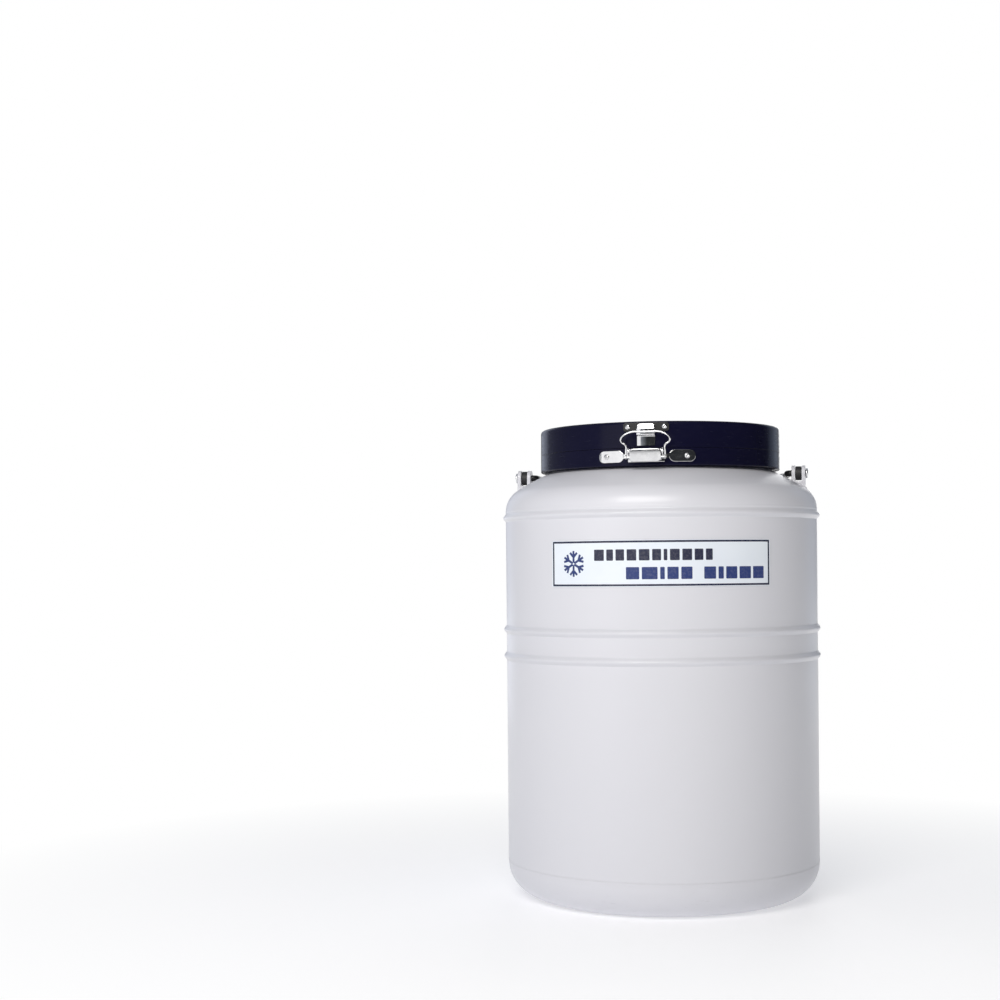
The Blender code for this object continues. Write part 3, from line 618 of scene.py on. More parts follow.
def make_shell():
    low, high = SHELL_LOW.z + 0.0017, SHELL_HIGH.z - 0.0014
    outline = [(SHELL_RADIUS, high)]
    for height in BEAD_HEIGHTS:
        outline += bead_outline(height)
    outline += [(SHELL_RADIUS, low), (SHELL_RADIUS - SHEET, low), (SHELL_RADIUS - SHEET, high)]
    settle("shell_wall", lathe(outline, VESSEL_STEPS), PAINT, "vessel", ["outer_shell"])


def make_base():
    corner = (SHELL_RADIUS - BASE_CORNER, BASE_CORNER)
    port_hole = 0.0145
    outline = weld(SHELL_RADIUS, BASE_CORNER + 0.0003)
    outline += arc(corner, BASE_CORNER, 0.0, -pi / 2, 20)
    outline += rounded([
        (FOOT_INNER + 0.008, 0.0, 0.0),
        (FOOT_INNER, 0.0, 0.002),
        (FOOT_INNER - BASE_RECESS / 2, BASE_RECESS, 0.003),
        (port_hole, BASE_RECESS, 0.0),
        (port_hole, BASE_RECESS + SHEET, 0.0),
        (FOOT_INNER, BASE_RECESS + SHEET, 0.003),
        (FOOT_INNER + BASE_RECESS / 2, SHEET, 0.002),
        (FOOT_INNER + 0.010, SHEET, 0.0),
    ], closed=False)
    outline += arc(corner, BASE_CORNER - SHEET, -pi / 2, 0.0, 14)
    settle("base", lathe(outline, VESSEL_STEPS), PAINT, "vessel", ["base_pan"])


def make_head():
    hole = NECK_OUTER + 0.0003
    outline = []
    for offset, direction in ((0.0, 1), (-SHEET, -1)):
        crown = CROWN_RADIUS + offset
        start = pi / 2 - asin(hole / crown)
        run = arc((0.0, CROWN_CENTRE), crown, start, KNUCKLE_TURN, 16)
        run += arc((SHELL_RADIUS - KNUCKLE, HEAD_START), KNUCKLE + offset, KNUCKLE_TURN, 0.0, 14)[1:]
        if direction > 0:
            run += weld(SHELL_RADIUS, HEAD_START - 0.0003)
        outline += run[::direction]
    settle("shoulder", lathe(outline, VESSEL_STEPS), PAINT, "vessel", ["shoulder_head"])


def lug_ear(x_low, x_high):
    """One ear: a rounded tab that stands on the shoulder, in the YZ plane."""
    foot = min(dome_height(abs(x_low)), dome_height(abs(x_high))) - LUG_SUNK
    outline = arc((0.0, BAIL_HEIGHT), LUG_HALF, 0.0, pi, 20)
    outline += [(-LUG_HALF, foot), (LUG_HALF, foot)]
    return stand(slab(outline, x_high - x_low, 0.0007, both=True), x_low)


def weld_run(points, radius, ripple=0.00015):
    """A painted weld bead along a line, with its ripples."""
    line = [Vector(point) for point in points]
    return sweep(line, [radius + ripple * sin(i * 1.7) for i in range(len(line))], sides=10)


def lug_foot_line(side, x_low, x_high, half):
    """The line round a lug's foot, on the shoulder."""
    corners = [(x_low, -half), (x_high, -half), (x_high, half), (x_low, half), (x_low, -half)]
    points = []
    count = 14
    for (x0, y0), (x1, y1) in zip(corners, corners[1:]):
        for i in range(count):
            x = x0 + (x1 - x0) * i / count
            y = y0 + (y1 - y0) * i / count
            points.append((side * x, y, dome_height(hypot(x, y)) - 0.0002))
    points.append(points[0])
    return points


def make_lugs():
    """On each side two ears with a low block between them, welded to the shoulder."""
    ear, overlap, block_half = 0.0045, 0.0005, 0.0092
    for side, word in ((-1, "left"), (1, "right")):
        low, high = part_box("lug_" + word)
        inner, outer = sorted((abs(low.x), abs(high.x)))
        spans = [(inner, inner + ear), (outer - ear, outer)]
        ears = [lug_ear(*sorted((side * a, side * b))) for a, b in spans]
        block_low, block_high = sorted((side * (inner + ear - overlap), side * (outer - ear + overlap)))
        floor = dome_height(outer) - LUG_SUNK
        top = BAIL_HEIGHT - LUG_HALF - 0.0006
        outline = [(-block_half, floor), (block_half, floor), (block_half, top), (-block_half, top)]
        block = stand(slab(outline, block_high - block_low, 0.0), block_low)
        bead = weld_run(lug_foot_line(side, inner - 0.0003, outer + 0.0003, 0.0098), 0.0014)
        lug = merge(ears[0], ears[1], block, bead)
        settle("lug_" + word + "_welded", lug, PAINT, "vessel", ["lug_" + word])


# The label, with plain printed blocks in place of any wording.


def on_label(across, up):
    """A point of the label from shares of its width and height."""
    return (
        LABEL_HALF_ARC * (2 * across - 1),
        LABEL_LOW.z + (LABEL_HIGH.z - LABEL_LOW.z) * up,
    )


def printed(name, outlines, finish):
    """Ink shapes on the label, rolled round the wall."""
    shapes = [slab(outline, INK_THICK, 0.0) for outline in outlines]
    ink_layer = merge(shapes[0], *shapes[1:])
    roll(ink_layer, SHELL_RADIUS + INK_LIFT, LABEL_FACES)
    settle(name, ink_layer, finish, "vessel")


def block_outline(across_low, across_high, up_low, up_high):
    low = on_label(across_low, up_low)
    high = on_label(across_high, up_high)
    return rounded_box(low[0], high[0], low[1], high[1], 0.0009)


def block_row(start, end, low, high, pattern, gap=0.011):
    """A row of plain blocks; the pattern gives each one's width, with 0 for a wider gap."""
    wide_gap = 0.6
    room = end - start - gap * (len(pattern) - 1)
    unit = room / sum(width or wide_gap for width in pattern)
    row = []
    for width in pattern:
        if width:
            row.append(block_outline(start, start + unit * width, low, high))
        start += unit * (width or wide_gap) + gap
    return row


def snowflake_outlines(centre, reach, half_width):
    """Six plain arms with one pair of twigs each."""
    outlines = []
    for arm in range(6):
        turn = Matrix.Rotation(pi / 6 + arm * pi / 3, 2)
        strokes = [((0.0012, 0.0), (reach, 0.0))]
        knee = (reach * 0.52, 0.0)
        strokes += [(knee, (reach * 0.86, side * reach * 0.32)) for side in (-1, 1)]
        for first, second in strokes:
            first, second = Vector(first), Vector(second)
            line = second - first
            across = Vector((-line.y, line.x)).normalized() * half_width
            corners = [first - across, second - across, second + across, first + across]
            outlines.append([tuple(Vector(centre) + turn @ corner) for corner in corners])
    return outlines


def make_label():
    low, high = on_label(0, 0), on_label(1, 1)
    plate = rounded_box(low[0], high[0], low[1], high[1], 0.002)
    film = roll(slab(plate, FILM_THICK, 0.0), SHELL_RADIUS + FILM_LIFT, LABEL_FACES)
    settle("label_film", film, VINYL, "vessel", ["label_plate"])
    line = 0.0022
    inset = 0.0008
    x0, x1 = low[0] + inset, high[0] - inset
    z0, z1 = low[1] + inset, high[1] - inset
    sides = [
        [(x0, z0), (x1, z0), (x1, z0 + line), (x0, z0 + line)],
        [(x0, z1 - line), (x1, z1 - line), (x1, z1), (x0, z1)],
        [(x0, z0 + line), (x0 + line, z0 + line), (x0 + line, z1 - line), (x0, z1 - line)],
        [(x1 - line, z0 + line), (x1, z0 + line), (x1, z1 - line), (x1 - line, z1 - line)],
    ]
    printed("label_border", sides, DARK_INK)
    centre = on_label(0.115, 0.5)
    printed("label_snowflake", snowflake_outlines(centre, 0.0148, 0.0013), NAVY_INK)
    upper = block_row(0.215, 0.72, 0.56, 0.80, (1.2, 0.8, 1.0, 1.1, 1.2, 1.0, 0.4, 1.1, 1.1, 1.0, 0.8))
    lower = block_row(0.355, 0.965, 0.16, 0.42, (1.2, 1.4, 0.4, 1.0, 1.0, 0, 1.1, 0.5, 1.1, 1.2, 1.2))
    printed("label_upper_row", upper, DARK_INK)
    printed("label_lower_row", lower, NAVY_INK)


# The inner vessel and what it holds.


def make_neck():
    inner = NECK_OUTER - NECK_WALL
    outline = rounded([
        (NECK_OUTER, NECK_TOP, 0.0005),
        (NECK_OUTER, NECK_BOTTOM, 0.0005),
        (inner, NECK_BOTTOM, 0.0008),
        (inner, NECK_TOP, 0.001),
    ])
    settle("neck", lathe(outline), GLASS_FIBRE, "vessel", ["neck_tube"])


def make_liner():
    """The chamber's wall, with two rows of upright slots."""
    wall = 0.0015
    inner = LINER_RADIUS - wall
    floor = LINER_LOW.z + wall
    outline = rounded([
        (0.0, floor, 0.0),
        (inner, floor, 0.004),
        (inner, LINER_HIGH.z, 0.0005),
        (LINER_RADIUS, LINER_HIGH.z, 0.0005),
        (LINER_RADIUS, LINER_LOW.z, 0.002),
        (0.0, LINER_LOW.z, 0.0),
    ], closed=False)
    turned = lathe(outline, ring=False)
    liner = settle("liner", turned, ALUMINIUM, "vessel", ["chamber_liner"])
    half_width, half_height, columns = 0.006, 0.055, 8
    slot = rounded_box(-half_width, half_width, -half_height, half_height, 0.0058)
    slots = bmesh.new()
    for height in (0.140, 0.300):
        for column in range(columns):
            angle = 2 * pi * (column + 0.5) / columns + pi / 32
            piece = slab(slot, 2 * half_width, 0.0)
            placing = outward(angle, LINER_RADIUS - half_width, height)
            bmesh.ops.transform(piece, matrix=placing, verts=piece.verts)
            merge(slots, piece)
    cut(liner, slots)


def make_absorbent():
    bore = LINER_RADIUS + 0.0012
    slope_top, slope_foot, seat = 0.0625, 0.1535, 0.0612
    outline = rounded([
        (bore, PACK_HIGH.z, 0.002),
        (PACK_HIGH.x, PACK_HIGH.z, 0.004),
        (PACK_HIGH.x, slope_top, 0.006),
        (slope_foot, PACK_LOW.z, 0.006),
        (0.0, PACK_LOW.z, 0.0),
        (0.0, seat, 0.0),
        (bore, seat, 0.001),
    ])
    settle("absorbent", lathe(outline, 96), FELT, "vessel", ["absorbent_pack"])


def make_port():
    """The dust cap of the pumping port under the base."""
    low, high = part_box("vacuum_port_cap")
    radius, inside, ceiling = high.x, 0.0143, 0.0060
    outline = rounded([
        (0.0, low.z, 0.0),
        (radius - 0.001, low.z, 0.0008),
        (radius, low.z + 0.001, 0.0004),
        (radius, high.z, 0.0004),
        (inside, high.z, 0.0),
        (inside, ceiling, 0.0),
        (0.0, ceiling, 0.0),
    ], closed=False)
    settle("port_cap", lathe(outline, 72, ring=False), NYLON, "vessel", ["vacuum_port_cap"])


def make_kept_nodes():
    """CAD pieces whose shape is right and that stay in sight only when the vessel is taken apart."""
    kept = {
        "neck_ring": ALUMINIUM,
        "inner_vessel": ALUMINIUM,
        "insulation_blanket": FOIL,
        "getter_pack": GETTER,
        "vacuum_port": ALUMINIUM,
        "vacuum_port_plug": STEEL,
    }
    for name, finish in kept.items():
        for material_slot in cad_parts[name].material_slots:
            material_slot.material = finish


# The closure.


def make_collar():
    lip = NECK_OUTER - NECK_WALL + 0.0005
    pocket = NECK_OUTER + 0.0006
    pocket_top = PARTING - 0.004
    seat = [(radius, dome_height(radius) + SEAT_GAP, 0.0) for radius in (BOSS_RADIUS, 0.126, pocket)]
    outline = rounded([
        (lip, PARTING, 0.0015),
        (CLOSURE_RADIUS, PARTING, 0.0003),
        (CLOSURE_RADIUS, COLLAR_LOW, 0.0012),
        (BOSS_RADIUS, COLLAR_LOW, 0.001),
        *seat,
        (pocket, pocket_top, 0.0),
        (lip, pocket_top, 0.0),
    ])
    settle("collar", lathe(outline), NAVY, "vessel", ["neck_collar"])


def make_lid():
    inside = CLOSURE_RADIUS - 0.003
    top, panel, under = CLOSURE_TOP, CLOSURE_TOP - 0.001, CLOSURE_TOP - 0.0045
    outline = rounded([
        (0.0, panel, 0.0),
        (0.1255, panel, 0.002),
        (0.1285, top, 0.002),
        (CLOSURE_RADIUS - 0.0002, top, 0.0040),
        (CLOSURE_RADIUS, LID_LOW, 0.0003),
        (inside, LID_LOW, 0.0004),
        (inside, under, 0.0),
        (0.0, under, 0.0),
    ], closed=False)
    settle("lid", lathe(outline, ring=False), NAVY, "lid", ["lid_shell"])
    low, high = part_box("lid_base_ring")
    hole = PLUG_HIGH_RADIUS + 0.0015
    edge = 0.0008
    ring = rounded([(hole, low.z, edge), (hole, high.z, 0.0), (high.x, high.z, 0.0), (high.x, low.z, edge)])
    settle("lid_underside", lathe(ring), NAVY, "lid", ["lid_base_ring"])


def make_plug():
    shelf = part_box("lid_base_ring")[1].z + 0.0003
    outline = rounded([
        (0.0, PLUG_HIGH.z, 0.0),
        (PLUG_HIGH.x, PLUG_HIGH.z, 0.001),
        (PLUG_HIGH.x, shelf, 0.001),
        (PLUG_HIGH_RADIUS, shelf, 0.0),
        (PLUG_HIGH_RADIUS, PARTING, 0.003),
        (PLUG_END_RADIUS + 0.001, PLUG_LOW.z, 0.007),
        (0.0, PLUG_LOW.z, 0.0),
    ], closed=False)
    settle("plug", lathe(outline, 128, ring=False), FOAM, "lid", ["neck_plug"])


def screw_mesh():
    """A pan-head screw along Z, its shank below z = 0."""
    head, radius, shank, length = 0.0016, 0.0031, 0.0015, 0.0062
    outline = rounded([
        (0.0, head, 0.0),
        (0.0019, head, 0.0012),
        (radius, 0.0006, 0.0008),
        (radius, 0.0, 0.0),
        (shank, 0.0, 0.0),
        (shank, -length, 0.0),
        (0.0, -length, 0.0),
    ], closed=False)
    return lathe(outline, 36, ring=False)


def cross_recess():
    """The cross that a driver fits, as a cutter."""
    half, reach, floor = 0.00038, 0.0018, 0.0007
    bars = []
    for across, up in ((reach, half), (half, reach)):
        outline = [(-across, -up), (across, -up), (across, up), (-across, up)]
        shape = slab(outline, 0.002, 0.0)
        bmesh.ops.translate(shape, vec=(0.0, 0.0, floor), verts=shape.verts)
        bars.append(shape)
    return bars


def make_screws():
    """Pairs of screws: the way they face, half their spacing along the wall, their height and body."""
    pairs = {
        "keeper_screw": (0.0, 0.021, 0.5632, "lid"),
        "latch_screw": (0.0, 0.047, 0.5295, "vessel"),
        "hinge_screw_upper": (pi, 0.0235, 0.5495, "lid"),
        "hinge_screw_lower": (pi, 0.0235, 0.5300, "vessel"),
    }
    for kind, (facing, offset, height, body) in pairs.items():
        for side, word in ((-1, "left"), (1, "right")):
            node = kind + "_" + word
            across = side * offset / CLOSURE_RADIUS
            angle = facing + across if facing == 0.0 else facing - across
            placing = outward(angle, PLATE_INNER + PLATE_THICK + 0.0001, height)
            placing = placing @ Matrix.Rotation(radians(20 + 25 * side), 4, "Z")
            screw = settle(node + "_head", screw_mesh(), STEEL, body, [node], placing)
            for shape in cross_recess():
                bmesh.ops.transform(shape, matrix=placing, verts=shape.verts)
                cut(screw, shape)


# The hinge at the back.


def knuckle(x_low, x_high, radius):
    piece = bar(radius, x_high - x_low, 0.0004)
    bmesh.ops.transform(piece, matrix=along_x(x_low, HINGE_Y, PARTING), verts=piece.verts)
    return piece


def hinge_web(x_low, x_high, z_low, z_high):
    """The strip that joins a leaf to its knuckle, curled over the pin's axis."""
    back, front, crest = PLATE_INNER + 0.0004, PLATE_INNER + 0.002, HINGE_Y + HINGE_CURL * 0.92
    if z_low < PARTING - 0.001:
        outline = [(back, z_low), (front, z_low), (crest, z_high - 0.001), (HINGE_Y, z_high), (back, z_high)]
    else:
        outline = [(back, z_high), (back, z_low), (HINGE_Y, z_low), (crest, z_low + 0.001), (front, z_high)]
    return stand(slab(outline, x_high - x_low, 0.0), x_low)


def leaf(top_up):
    """One leaf of the hinge, rounded on its far side and rolled to the wall."""
    half = 0.030
    leaf_low, leaf_high = (0.5405, 0.5585) if top_up else (0.5225, 0.5375)
    low_radius, high_radius = (0.0012, 0.005) if top_up else (0.005, 0.0012)
    outline = rounded([
        (-half, leaf_low, low_radius),
        (half, leaf_low, low_radius),
        (half, leaf_high, high_radius),
        (-half, leaf_high, high_radius),
    ])
    return roll(slab(outline, PLATE_THICK, 0.0004), PLATE_INNER, pi)


def make_hinge():
    inset = 0.0006
    lower = [leaf(False)]
    for side in (-1, 1):
        x_low, x_high = sorted((side * (HINGE_INNER + inset), side * HINGE_OUTER))
        lower.append(knuckle(x_low, x_high, HINGE_CURL))
        lower.append(hinge_web(x_low + inset, x_high - inset, 0.529, PARTING - 0.0005))
    settle("hinge_lower", merge(*lower), STEEL, "vessel", ["hinge_leaf_lower"])
    upper = [leaf(True), knuckle(-HINGE_INNER, HINGE_INNER, HINGE_CURL)]
    upper.append(hinge_web(-HINGE_INNER + inset, HINGE_INNER - inset, PARTING + 0.0005, 0.549))
    settle("hinge_upper", merge(*upper), STEEL, "lid", ["hinge_leaf_upper"])
    half_length = 0.017
    pin = bar(0.0016, 2 * half_length, 0.0006)
    placing = along_x(-half_length, HINGE_Y, PARTING)
    settle("hinge_pin_round", pin, STEEL, "vessel", ["hinge_pin"], placing)


# The draw latch at the front.


def latch_ear(x_low, x_high):
    """A round ear on its web, in the YZ plane, that carries the lever's pin."""
    y, z = LATCH_PIVOT
    reach = 0.0045
    outline = [(y - reach * sin(a), z + reach * cos(a)) for a in [pi * i / 16 for i in range(17)]]
    outline += [(-PLATE_INNER, z - reach), (-PLATE_INNER, z + reach)]
    return stand(slab(outline, x_high - x_low, 0.0003, both=True), x_low)


def latch_plate(x_low, x_high, corner):
    """One flat field of the latch's plate, rolled to the collar."""
    outline = rounded_box(x_low, x_high, LATCH_LOW, LATCH_HIGH, corner)
    return roll(slab(outline, PLATE_THICK, 0.0006, segments=3), PLATE_INNER, 0.0)


def make_latch_base():
    """The middle with its two ears, a rounded wing on each side, and the narrow bridge behind."""
    middle, wing_start, wing_end, wing_corner = 0.0212, 0.0262, 0.0570, 0.0066
    ear_inner, ear_outer, bridge_half = 0.0190, 0.0205, 0.029
    pieces = [latch_plate(-middle, middle, 0.001)]
    for side in (-1, 1):
        pieces.append(latch_plate(*sorted((side * wing_start, side * wing_end)), wing_corner))
        pieces.append(latch_ear(*sorted((side * ear_inner, side * ear_outer))))
    bridge = rounded_box(-bridge_half, bridge_half, 0.527, 0.532, 0.0)
    pieces.append(roll(slab(bridge, PLATE_THICK - 0.0005, 0.0), PLATE_INNER + 0.0002, 0.0))
    settle("latch_plate", merge(*pieces), STEEL, "vessel", ["latch_base"])
    pins = (
        ("latch_pin", 0.0209, LATCH_PIVOT, 0.0012, "vessel"),
        ("latch_link_pin", 0.0240, LINK_PIVOT, 0.0011, "link"),
    )
    for node, half_length, (y, z), radius, body in pins:
        placing = along_x(-half_length, y, z)
        pin = bar(radius, 2 * half_length, 0.0004)
        settle(node + "_round", pin, STEEL, body, [node], placing)


def make_lever():
    """The lever: a crowned front plate, leaning back a little towards its foot, between two cheeks."""
    low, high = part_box("latch_lever")
    width, top = high.x, high.z
    middle, half = (low.z + high.z) / 2, (high.z - low.z) / 2
    sheet, crown, lean = 0.0015, 0.0001, 0.0005
    outline = rounded_box(-half, half, -width, width, 0.0048)
    face = cut_in_strips(slab(outline, sheet, 0.0009, segments=4), 0.001)
    for vertex in face.verts:
        share = vertex.co.x / half
        set_back = crown * share**2 + lean * (1 - share)
        vertex.co = (vertex.co.y, low.y + sheet - vertex.co.z + set_back, middle + vertex.co.x)
    foot = LINK_PIVOT[1] - 0.003
    cheeks = []
    for side in (-1, 1):
        cheek_low, cheek_high = sorted((side * (width - sheet), side * width))
        profile = rounded([
            (low.y + 0.0016, foot, 0.001),
            (high.y, foot, 0.0022),
            (high.y, top, 0.0022),
            (low.y + 0.0012, top, 0.0016),
        ])
        cheeks.append(stand(slab(profile, cheek_high - cheek_low, 0.0003, both=True), cheek_low))
    settle("lever_pressing", merge(face, *cheeks), STEEL, "lever", ["latch_lever"])


def smooth_line(knots, samples=8):
    """A Catmull-Rom curve through knots."""
    knots = [Vector(knot) for knot in knots]
    padded = [2 * knots[0] - knots[1], *knots, 2 * knots[-1] - knots[-2]]
    points = []
    for p0, p1, p2, p3 in zip(padded, padded[1:], padded[2:], padded[3:]):
        for i in range(samples):
            t = i / samples
            square, cube = 2 * p0 - 5 * p1 + 4 * p2 - p3, 3 * p1 - p0 - 3 * p2 + p3
            points.append(0.5 * (2 * p1 + (p2 - p0) * t + square * t**2 + cube * t**3))
    return points + [knots[-1]]


def make_loop():
    """The wire loop: an eye at the link pin on each side, legs that bow out, and the bar between them."""
    wire, leg_x = 0.0011, 0.0225
    eye_wire, eye_radius, eye_count = 0.0008, 0.0019, 28
    foot = Vector((0.0, *LINK_PIVOT))
    rise = Vector((0.0, *LOOP_BAR)) - foot
    knots = [(leg_x, 0.0), (leg_x, 0.25), (leg_x, 0.46), (0.0268, 0.58), (0.0284, 0.70)]
    knots += [(0.0262, 0.83), (0.0200, 0.95), (0.0140, 1.0), (0.0070, 1.0), (0.0, 1.0)]
    right = [foot + rise * share + Vector((across, 0.0, 0.0)) for across, share in knots]
    left = [Vector((-point.x, point.y, point.z)) for point in right[-2::-1]]
    line = smooth_line(right + left, 6)
    pieces = [sweep(line, [wire] * len(line), 16)]
    for side in (-1, 1):
        ring = arc(LINK_PIVOT, eye_radius, 0.0, 2 * pi, eye_count)
        eye = [Vector((side * leg_x, y, z)) for y, z in ring]
        pieces.append(sweep(eye, [eye_wire] * len(eye), 12))
    settle("loop_wire", merge(*pieces), STEEL, "loop", ["latch_loop"])


def make_keeper():
    """The black-coated flange on the lid and the bright hook that the loop's bar goes over."""
    half = 0.0265
    outline = rounded_box(-half, half, 0.5580, 0.5680, 0.003)
    flange = roll(slab(outline, PLATE_THICK, 0.0004), PLATE_INNER, 0.0)
    settle("keeper_flange", flange, COATING, "lid")
    hook_half, hook_crown = 0.0105, 0.0011
    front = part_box("keeper")[0].y
    lip, wall, plate = front + 0.0014, -PLATE_INNER, -PLATE_INNER - PLATE_THICK
    foot, top, lip_top, floor, under = 0.5415, 0.5665, 0.5610, 0.5545, 0.5530
    profile = rounded([
        (plate - 0.0004, foot, 0.0),
        (wall, foot, 0.0),
        (wall, top, 0.0),
        (plate - 0.0003, top, 0.0003),
        (plate - 0.0018, 0.5600, 0.0008),
        (plate - 0.0008, 0.5585, 0.0006),
        (plate - 0.0008, floor, 0.0012),
        (lip, floor, 0.0006),
        (lip, lip_top, 0.0005),
        (front, lip_top, 0.0005),
        (front, under, 0.0016),
        (plate - 0.0004, under, 0.0012),
    ])
    hook = stand(slab(profile, 2 * hook_half, 0.0004, both=True), -hook_half)
    for vertex in cut_in_strips(hook, 0.0015).verts:
        vertex.co.y += hook_crown * (vertex.co.x / hook_half) ** 2
    settle("keeper_hook", hook, STEEL, "lid", ["keeper"])


# The bail.


def make_bail():
    """The rod, bent in at its ends, its ribbed grip, and the bushes and caps at the lugs."""
    bend_centre = (BAIL_HALF_WIDTH + BAIL_BEND, BAIL_BEND)
    right = [(BAIL_HIGH.x - 0.0004, 0.0)]
    right += arc(bend_centre, BAIL_BEND, -pi / 2, -pi, 10)
    right += arc((0.0, BAIL_LEG), BAIL_HALF_WIDTH, 0.0, pi / 2, 48)
    line = right + [(-x, y) for x, y in right[-2::-1]]
    points = [Vector((x, y, BAIL_HEIGHT)) for x, y in line]
    rod = sweep(points, [BAIL_ROD] * len(points), 24)
    settle("bail_rod_round", rod, COATING, "bail", ["bail_rod"])

    count, grooves, depth = 120, 14, 0.0009
    grip_points, grip_radii = [], []
    for i in range(count + 1):
        share = i / count
        angle = GRIP_HALF_ANGLE * (2 * share - 1)
        across, back = BAIL_HALF_WIDTH * sin(angle), BAIL_LEG + BAIL_HALF_WIDTH * cos(angle)
        grip_points.append(Vector((across, back, BAIL_HEIGHT)))
        to_end = min(share, 1 - share) * 2 * GRIP_HALF_ANGLE * BAIL_HALF_WIDTH
        end_round = min(1.0, to_end / 0.004)
        groove = max(0.0, cos(2 * pi * grooves * share)) ** 6 if 0.08 < share < 0.92 else 0.0
        swell = 0.62 + 0.38 * sqrt(1 - (1 - end_round) ** 2)
        grip_radii.append(GRIP_RADIUS * swell - depth * groove)
    grip = sweep(grip_points, grip_radii, 32)
    settle("bail_grip_moulded", grip, NYLON, "bail", ["bail_grip"])

    turned_parts = (
        ("bush_", 0.0008, 48, NYLON, "vessel", "black_nylon"),
        ("cap_", 0.0013, 40, STEEL, "bail", "bright_steel"),
    )
    for word in ("left", "right"):
        for part, edge, steps, finish, body, slot in turned_parts:
            node = "bail_" + part + word
            low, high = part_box(node)
            turned = bar(high.z - BAIL_HEIGHT, high.x - low.x, edge, steps)
            placing = along_x(low.x, 0.0, BAIL_HEIGHT)
            settle(part + word, turned, finish, body, [node], placing)


# Camera, floor and light.

BACKDROP = (1.0, 1.0, 1.0)
DARK_AZIMUTH = radians(66)
AIM_HEIGHT = 0.30


def make_camera():
    azimuth, distance, height = radians(6.0), 2.123, 0.402
    turned_left, roll_angle = radians(5.36), radians(0.5)
    data = bpy.data.cameras.new("photo_view")
    data.lens = 61.6
    data.sensor_width = 36.0
    data.shift_y = 0.068
    camera = bpy.data.objects.new("photo_view", data)
    place = Matrix.Translation((distance * sin(azimuth), -distance * cos(azimuth), height))
    heading = Matrix.Rotation(azimuth + turned_left, 4, "Z") @ Matrix.Rotation(pi / 2, 4, "X")
    camera.matrix_world = place @ heading @ Matrix.Rotation(-roll_angle, 4, "Z")
    put(camera)
    bpy.context.scene.camera = camera


def make_floor():
    """A pale floor that shades softly near the object and fades into the white backdrop further out."""
    finish = new_finish("pale_floor", (0.70, 0.70, 0.72), 0.6, specular=0.1)
    tree = finish.node_tree
    shader = tree.nodes["Principled BSDF"]
    shader.inputs["Emission Color"].default_value = (1.0, 1.0, 1.0, 1.0)
    shader.inputs["Emission Strength"].default_value = 0.40
    where = add(tree, "TexCoord").outputs["Object"]
    away = add(tree, "VectorMath", {"operation": "LENGTH"})
    tree.links.new(where, away.inputs[0])
    share = spread(tree, away.outputs["Value"], 0.22, 1.0, 0.0, 1.0)
    backdrop = add(tree, "Emission", Color=(*BACKDROP, 1.0), Strength=1.0)
    mixed = add(tree, "MixShader", Fac=share)
    tree.links.new(shader.outputs[0], mixed.inputs[1])
    tree.links.new(backdrop.outputs[0], mixed.inputs[2])
    tree.links.new(mixed.outputs[0], tree.nodes["Material Output"].inputs["Surface"])
    bm = bmesh.new()
    bmesh.ops.create_circle(bm, cap_ends=True, segments=96, radius=14.0)
    mesh = as_mesh(bm, "floor")
    mesh.materials.append(finish)
    floor = bpy.data.objects.new("floor", mesh)
    put(floor)


def area_light(name, azimuth, height, distance, width, tall, power, colour=(1.0, 1.0, 1.0)):
    """A soft box at an azimuth from the front, aimed at the object's middle."""
    data = bpy.data.lights.new(name, "AREA")
    data.shape = "RECTANGLE"
    data.size = width
    data.size_y = tall
    data.energy = power
    data.color = colour
    light = bpy.data.objects.new(name, data)
    angle = radians(azimuth)
    spot = Vector((distance * sin(angle), -distance * cos(angle), height))
    aim = Vector((0.0, 0.0, AIM_HEIGHT)) - spot
    light.matrix_world = Matrix.Translation(spot) @ aim.to_track_quat("-Z", "Y").to_matrix().to_4x4()
    put(light)
    light.visible_camera = False


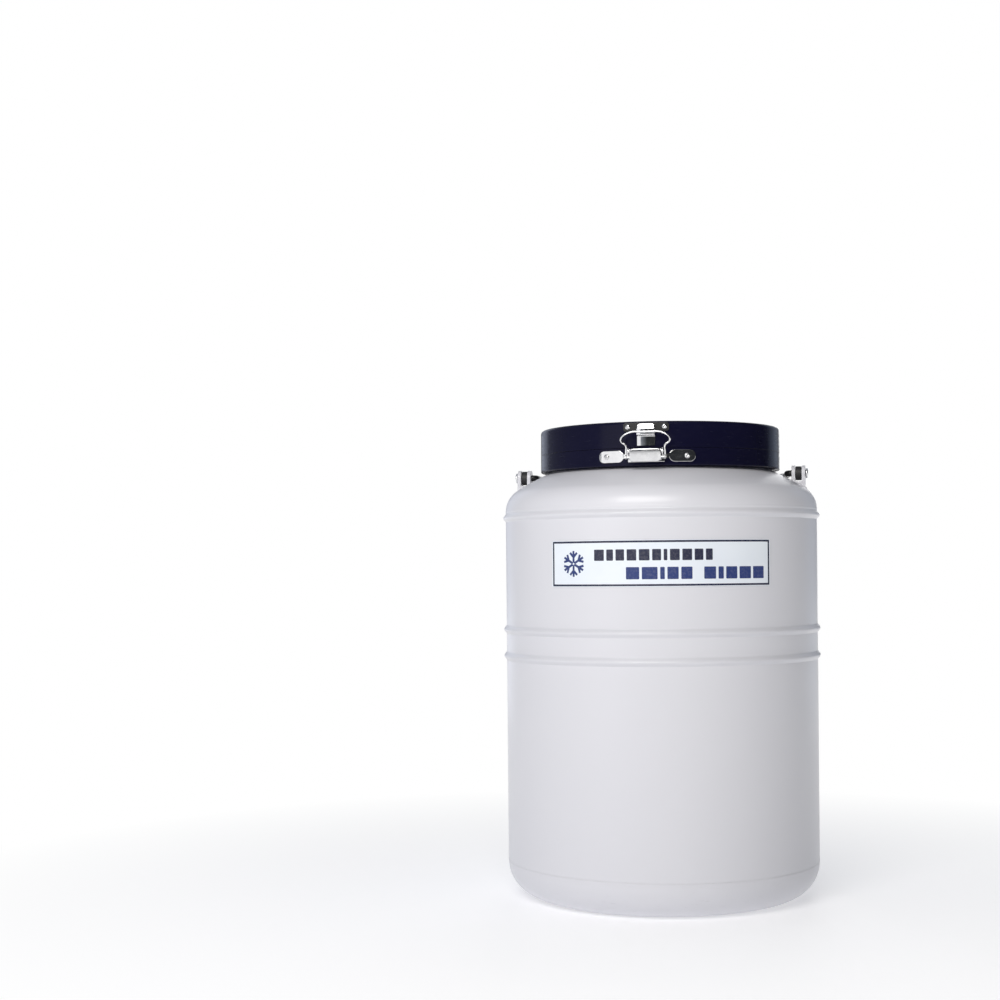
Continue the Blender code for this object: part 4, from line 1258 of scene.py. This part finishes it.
def make_light():
    """A white backdrop, pale fill with a dark stretch at the front right, and six soft boxes."""
    world = bpy.data.worlds.new("studio")
    bpy.context.scene.world = world
    world.use_nodes = True
    tree = world.node_tree
    tree.nodes.clear()
    seen = add(tree, "Background", Color=(*BACKDROP, 1.0), Strength=1.0)
    toward = add(tree, "VectorMath", {"operation": "DOT_PRODUCT"})
    tree.links.new(add(tree, "TexCoord").outputs["Generated"], toward.inputs[0])
    toward.inputs[1].default_value = (sin(DARK_AZIMUTH), -cos(DARK_AZIMUTH), 0.0)
    lit, dark = cos(radians(88)), cos(radians(70))
    strength = spread(tree, toward.outputs["Value"], lit, dark, 0.31, 0.03)
    fill = add(tree, "Background", Color=(0.86, 0.91, 1.0, 1.0), Strength=strength)
    mixed = add(tree, "MixShader")
    tree.links.new(add(tree, "LightPath").outputs["Is Camera Ray"], mixed.inputs[0])
    tree.links.new(fill.outputs[0], mixed.inputs[1])
    tree.links.new(seen.outputs[0], mixed.inputs[2])
    tree.links.new(mixed.outputs[0], add(tree, "OutputWorld").inputs["Surface"])
    area_light("card_left", -34, 0.65, 2.4, 1.25, 1.3, 4.2, (1.0, 0.98, 0.96))
    area_light("key_high", -7, 1.65, 2.2, 1.6, 1.0, 42, (1.0, 0.975, 0.94))
    area_light("overhead", 0, 2.4, 0.3, 1.6, 1.6, 2)
    area_light("back_left", -140, 0.9, 2.4, 1.0, 1.8, 4, (0.75, 0.82, 1.0))
    area_light("behind", 180, 1.1, 2.4, 1.2, 1.8, 11)
    area_light("back_right", 143, 0.9, 2.4, 1.1, 1.8, 2.5, (0.62, 0.76, 1.0))
    bpy.context.scene.view_settings.view_transform = "Standard"


def main():
    makers = (
        make_shell, make_base, make_head, make_lugs, make_label,
        make_neck, make_liner, make_absorbent, make_port, make_kept_nodes,
        make_collar, make_lid, make_plug, make_screws, make_hinge,
        make_latch_base, make_lever, make_loop, make_keeper, make_bail,
        make_camera, make_floor, make_light,
    )
    for make in makers:
        make()


main()
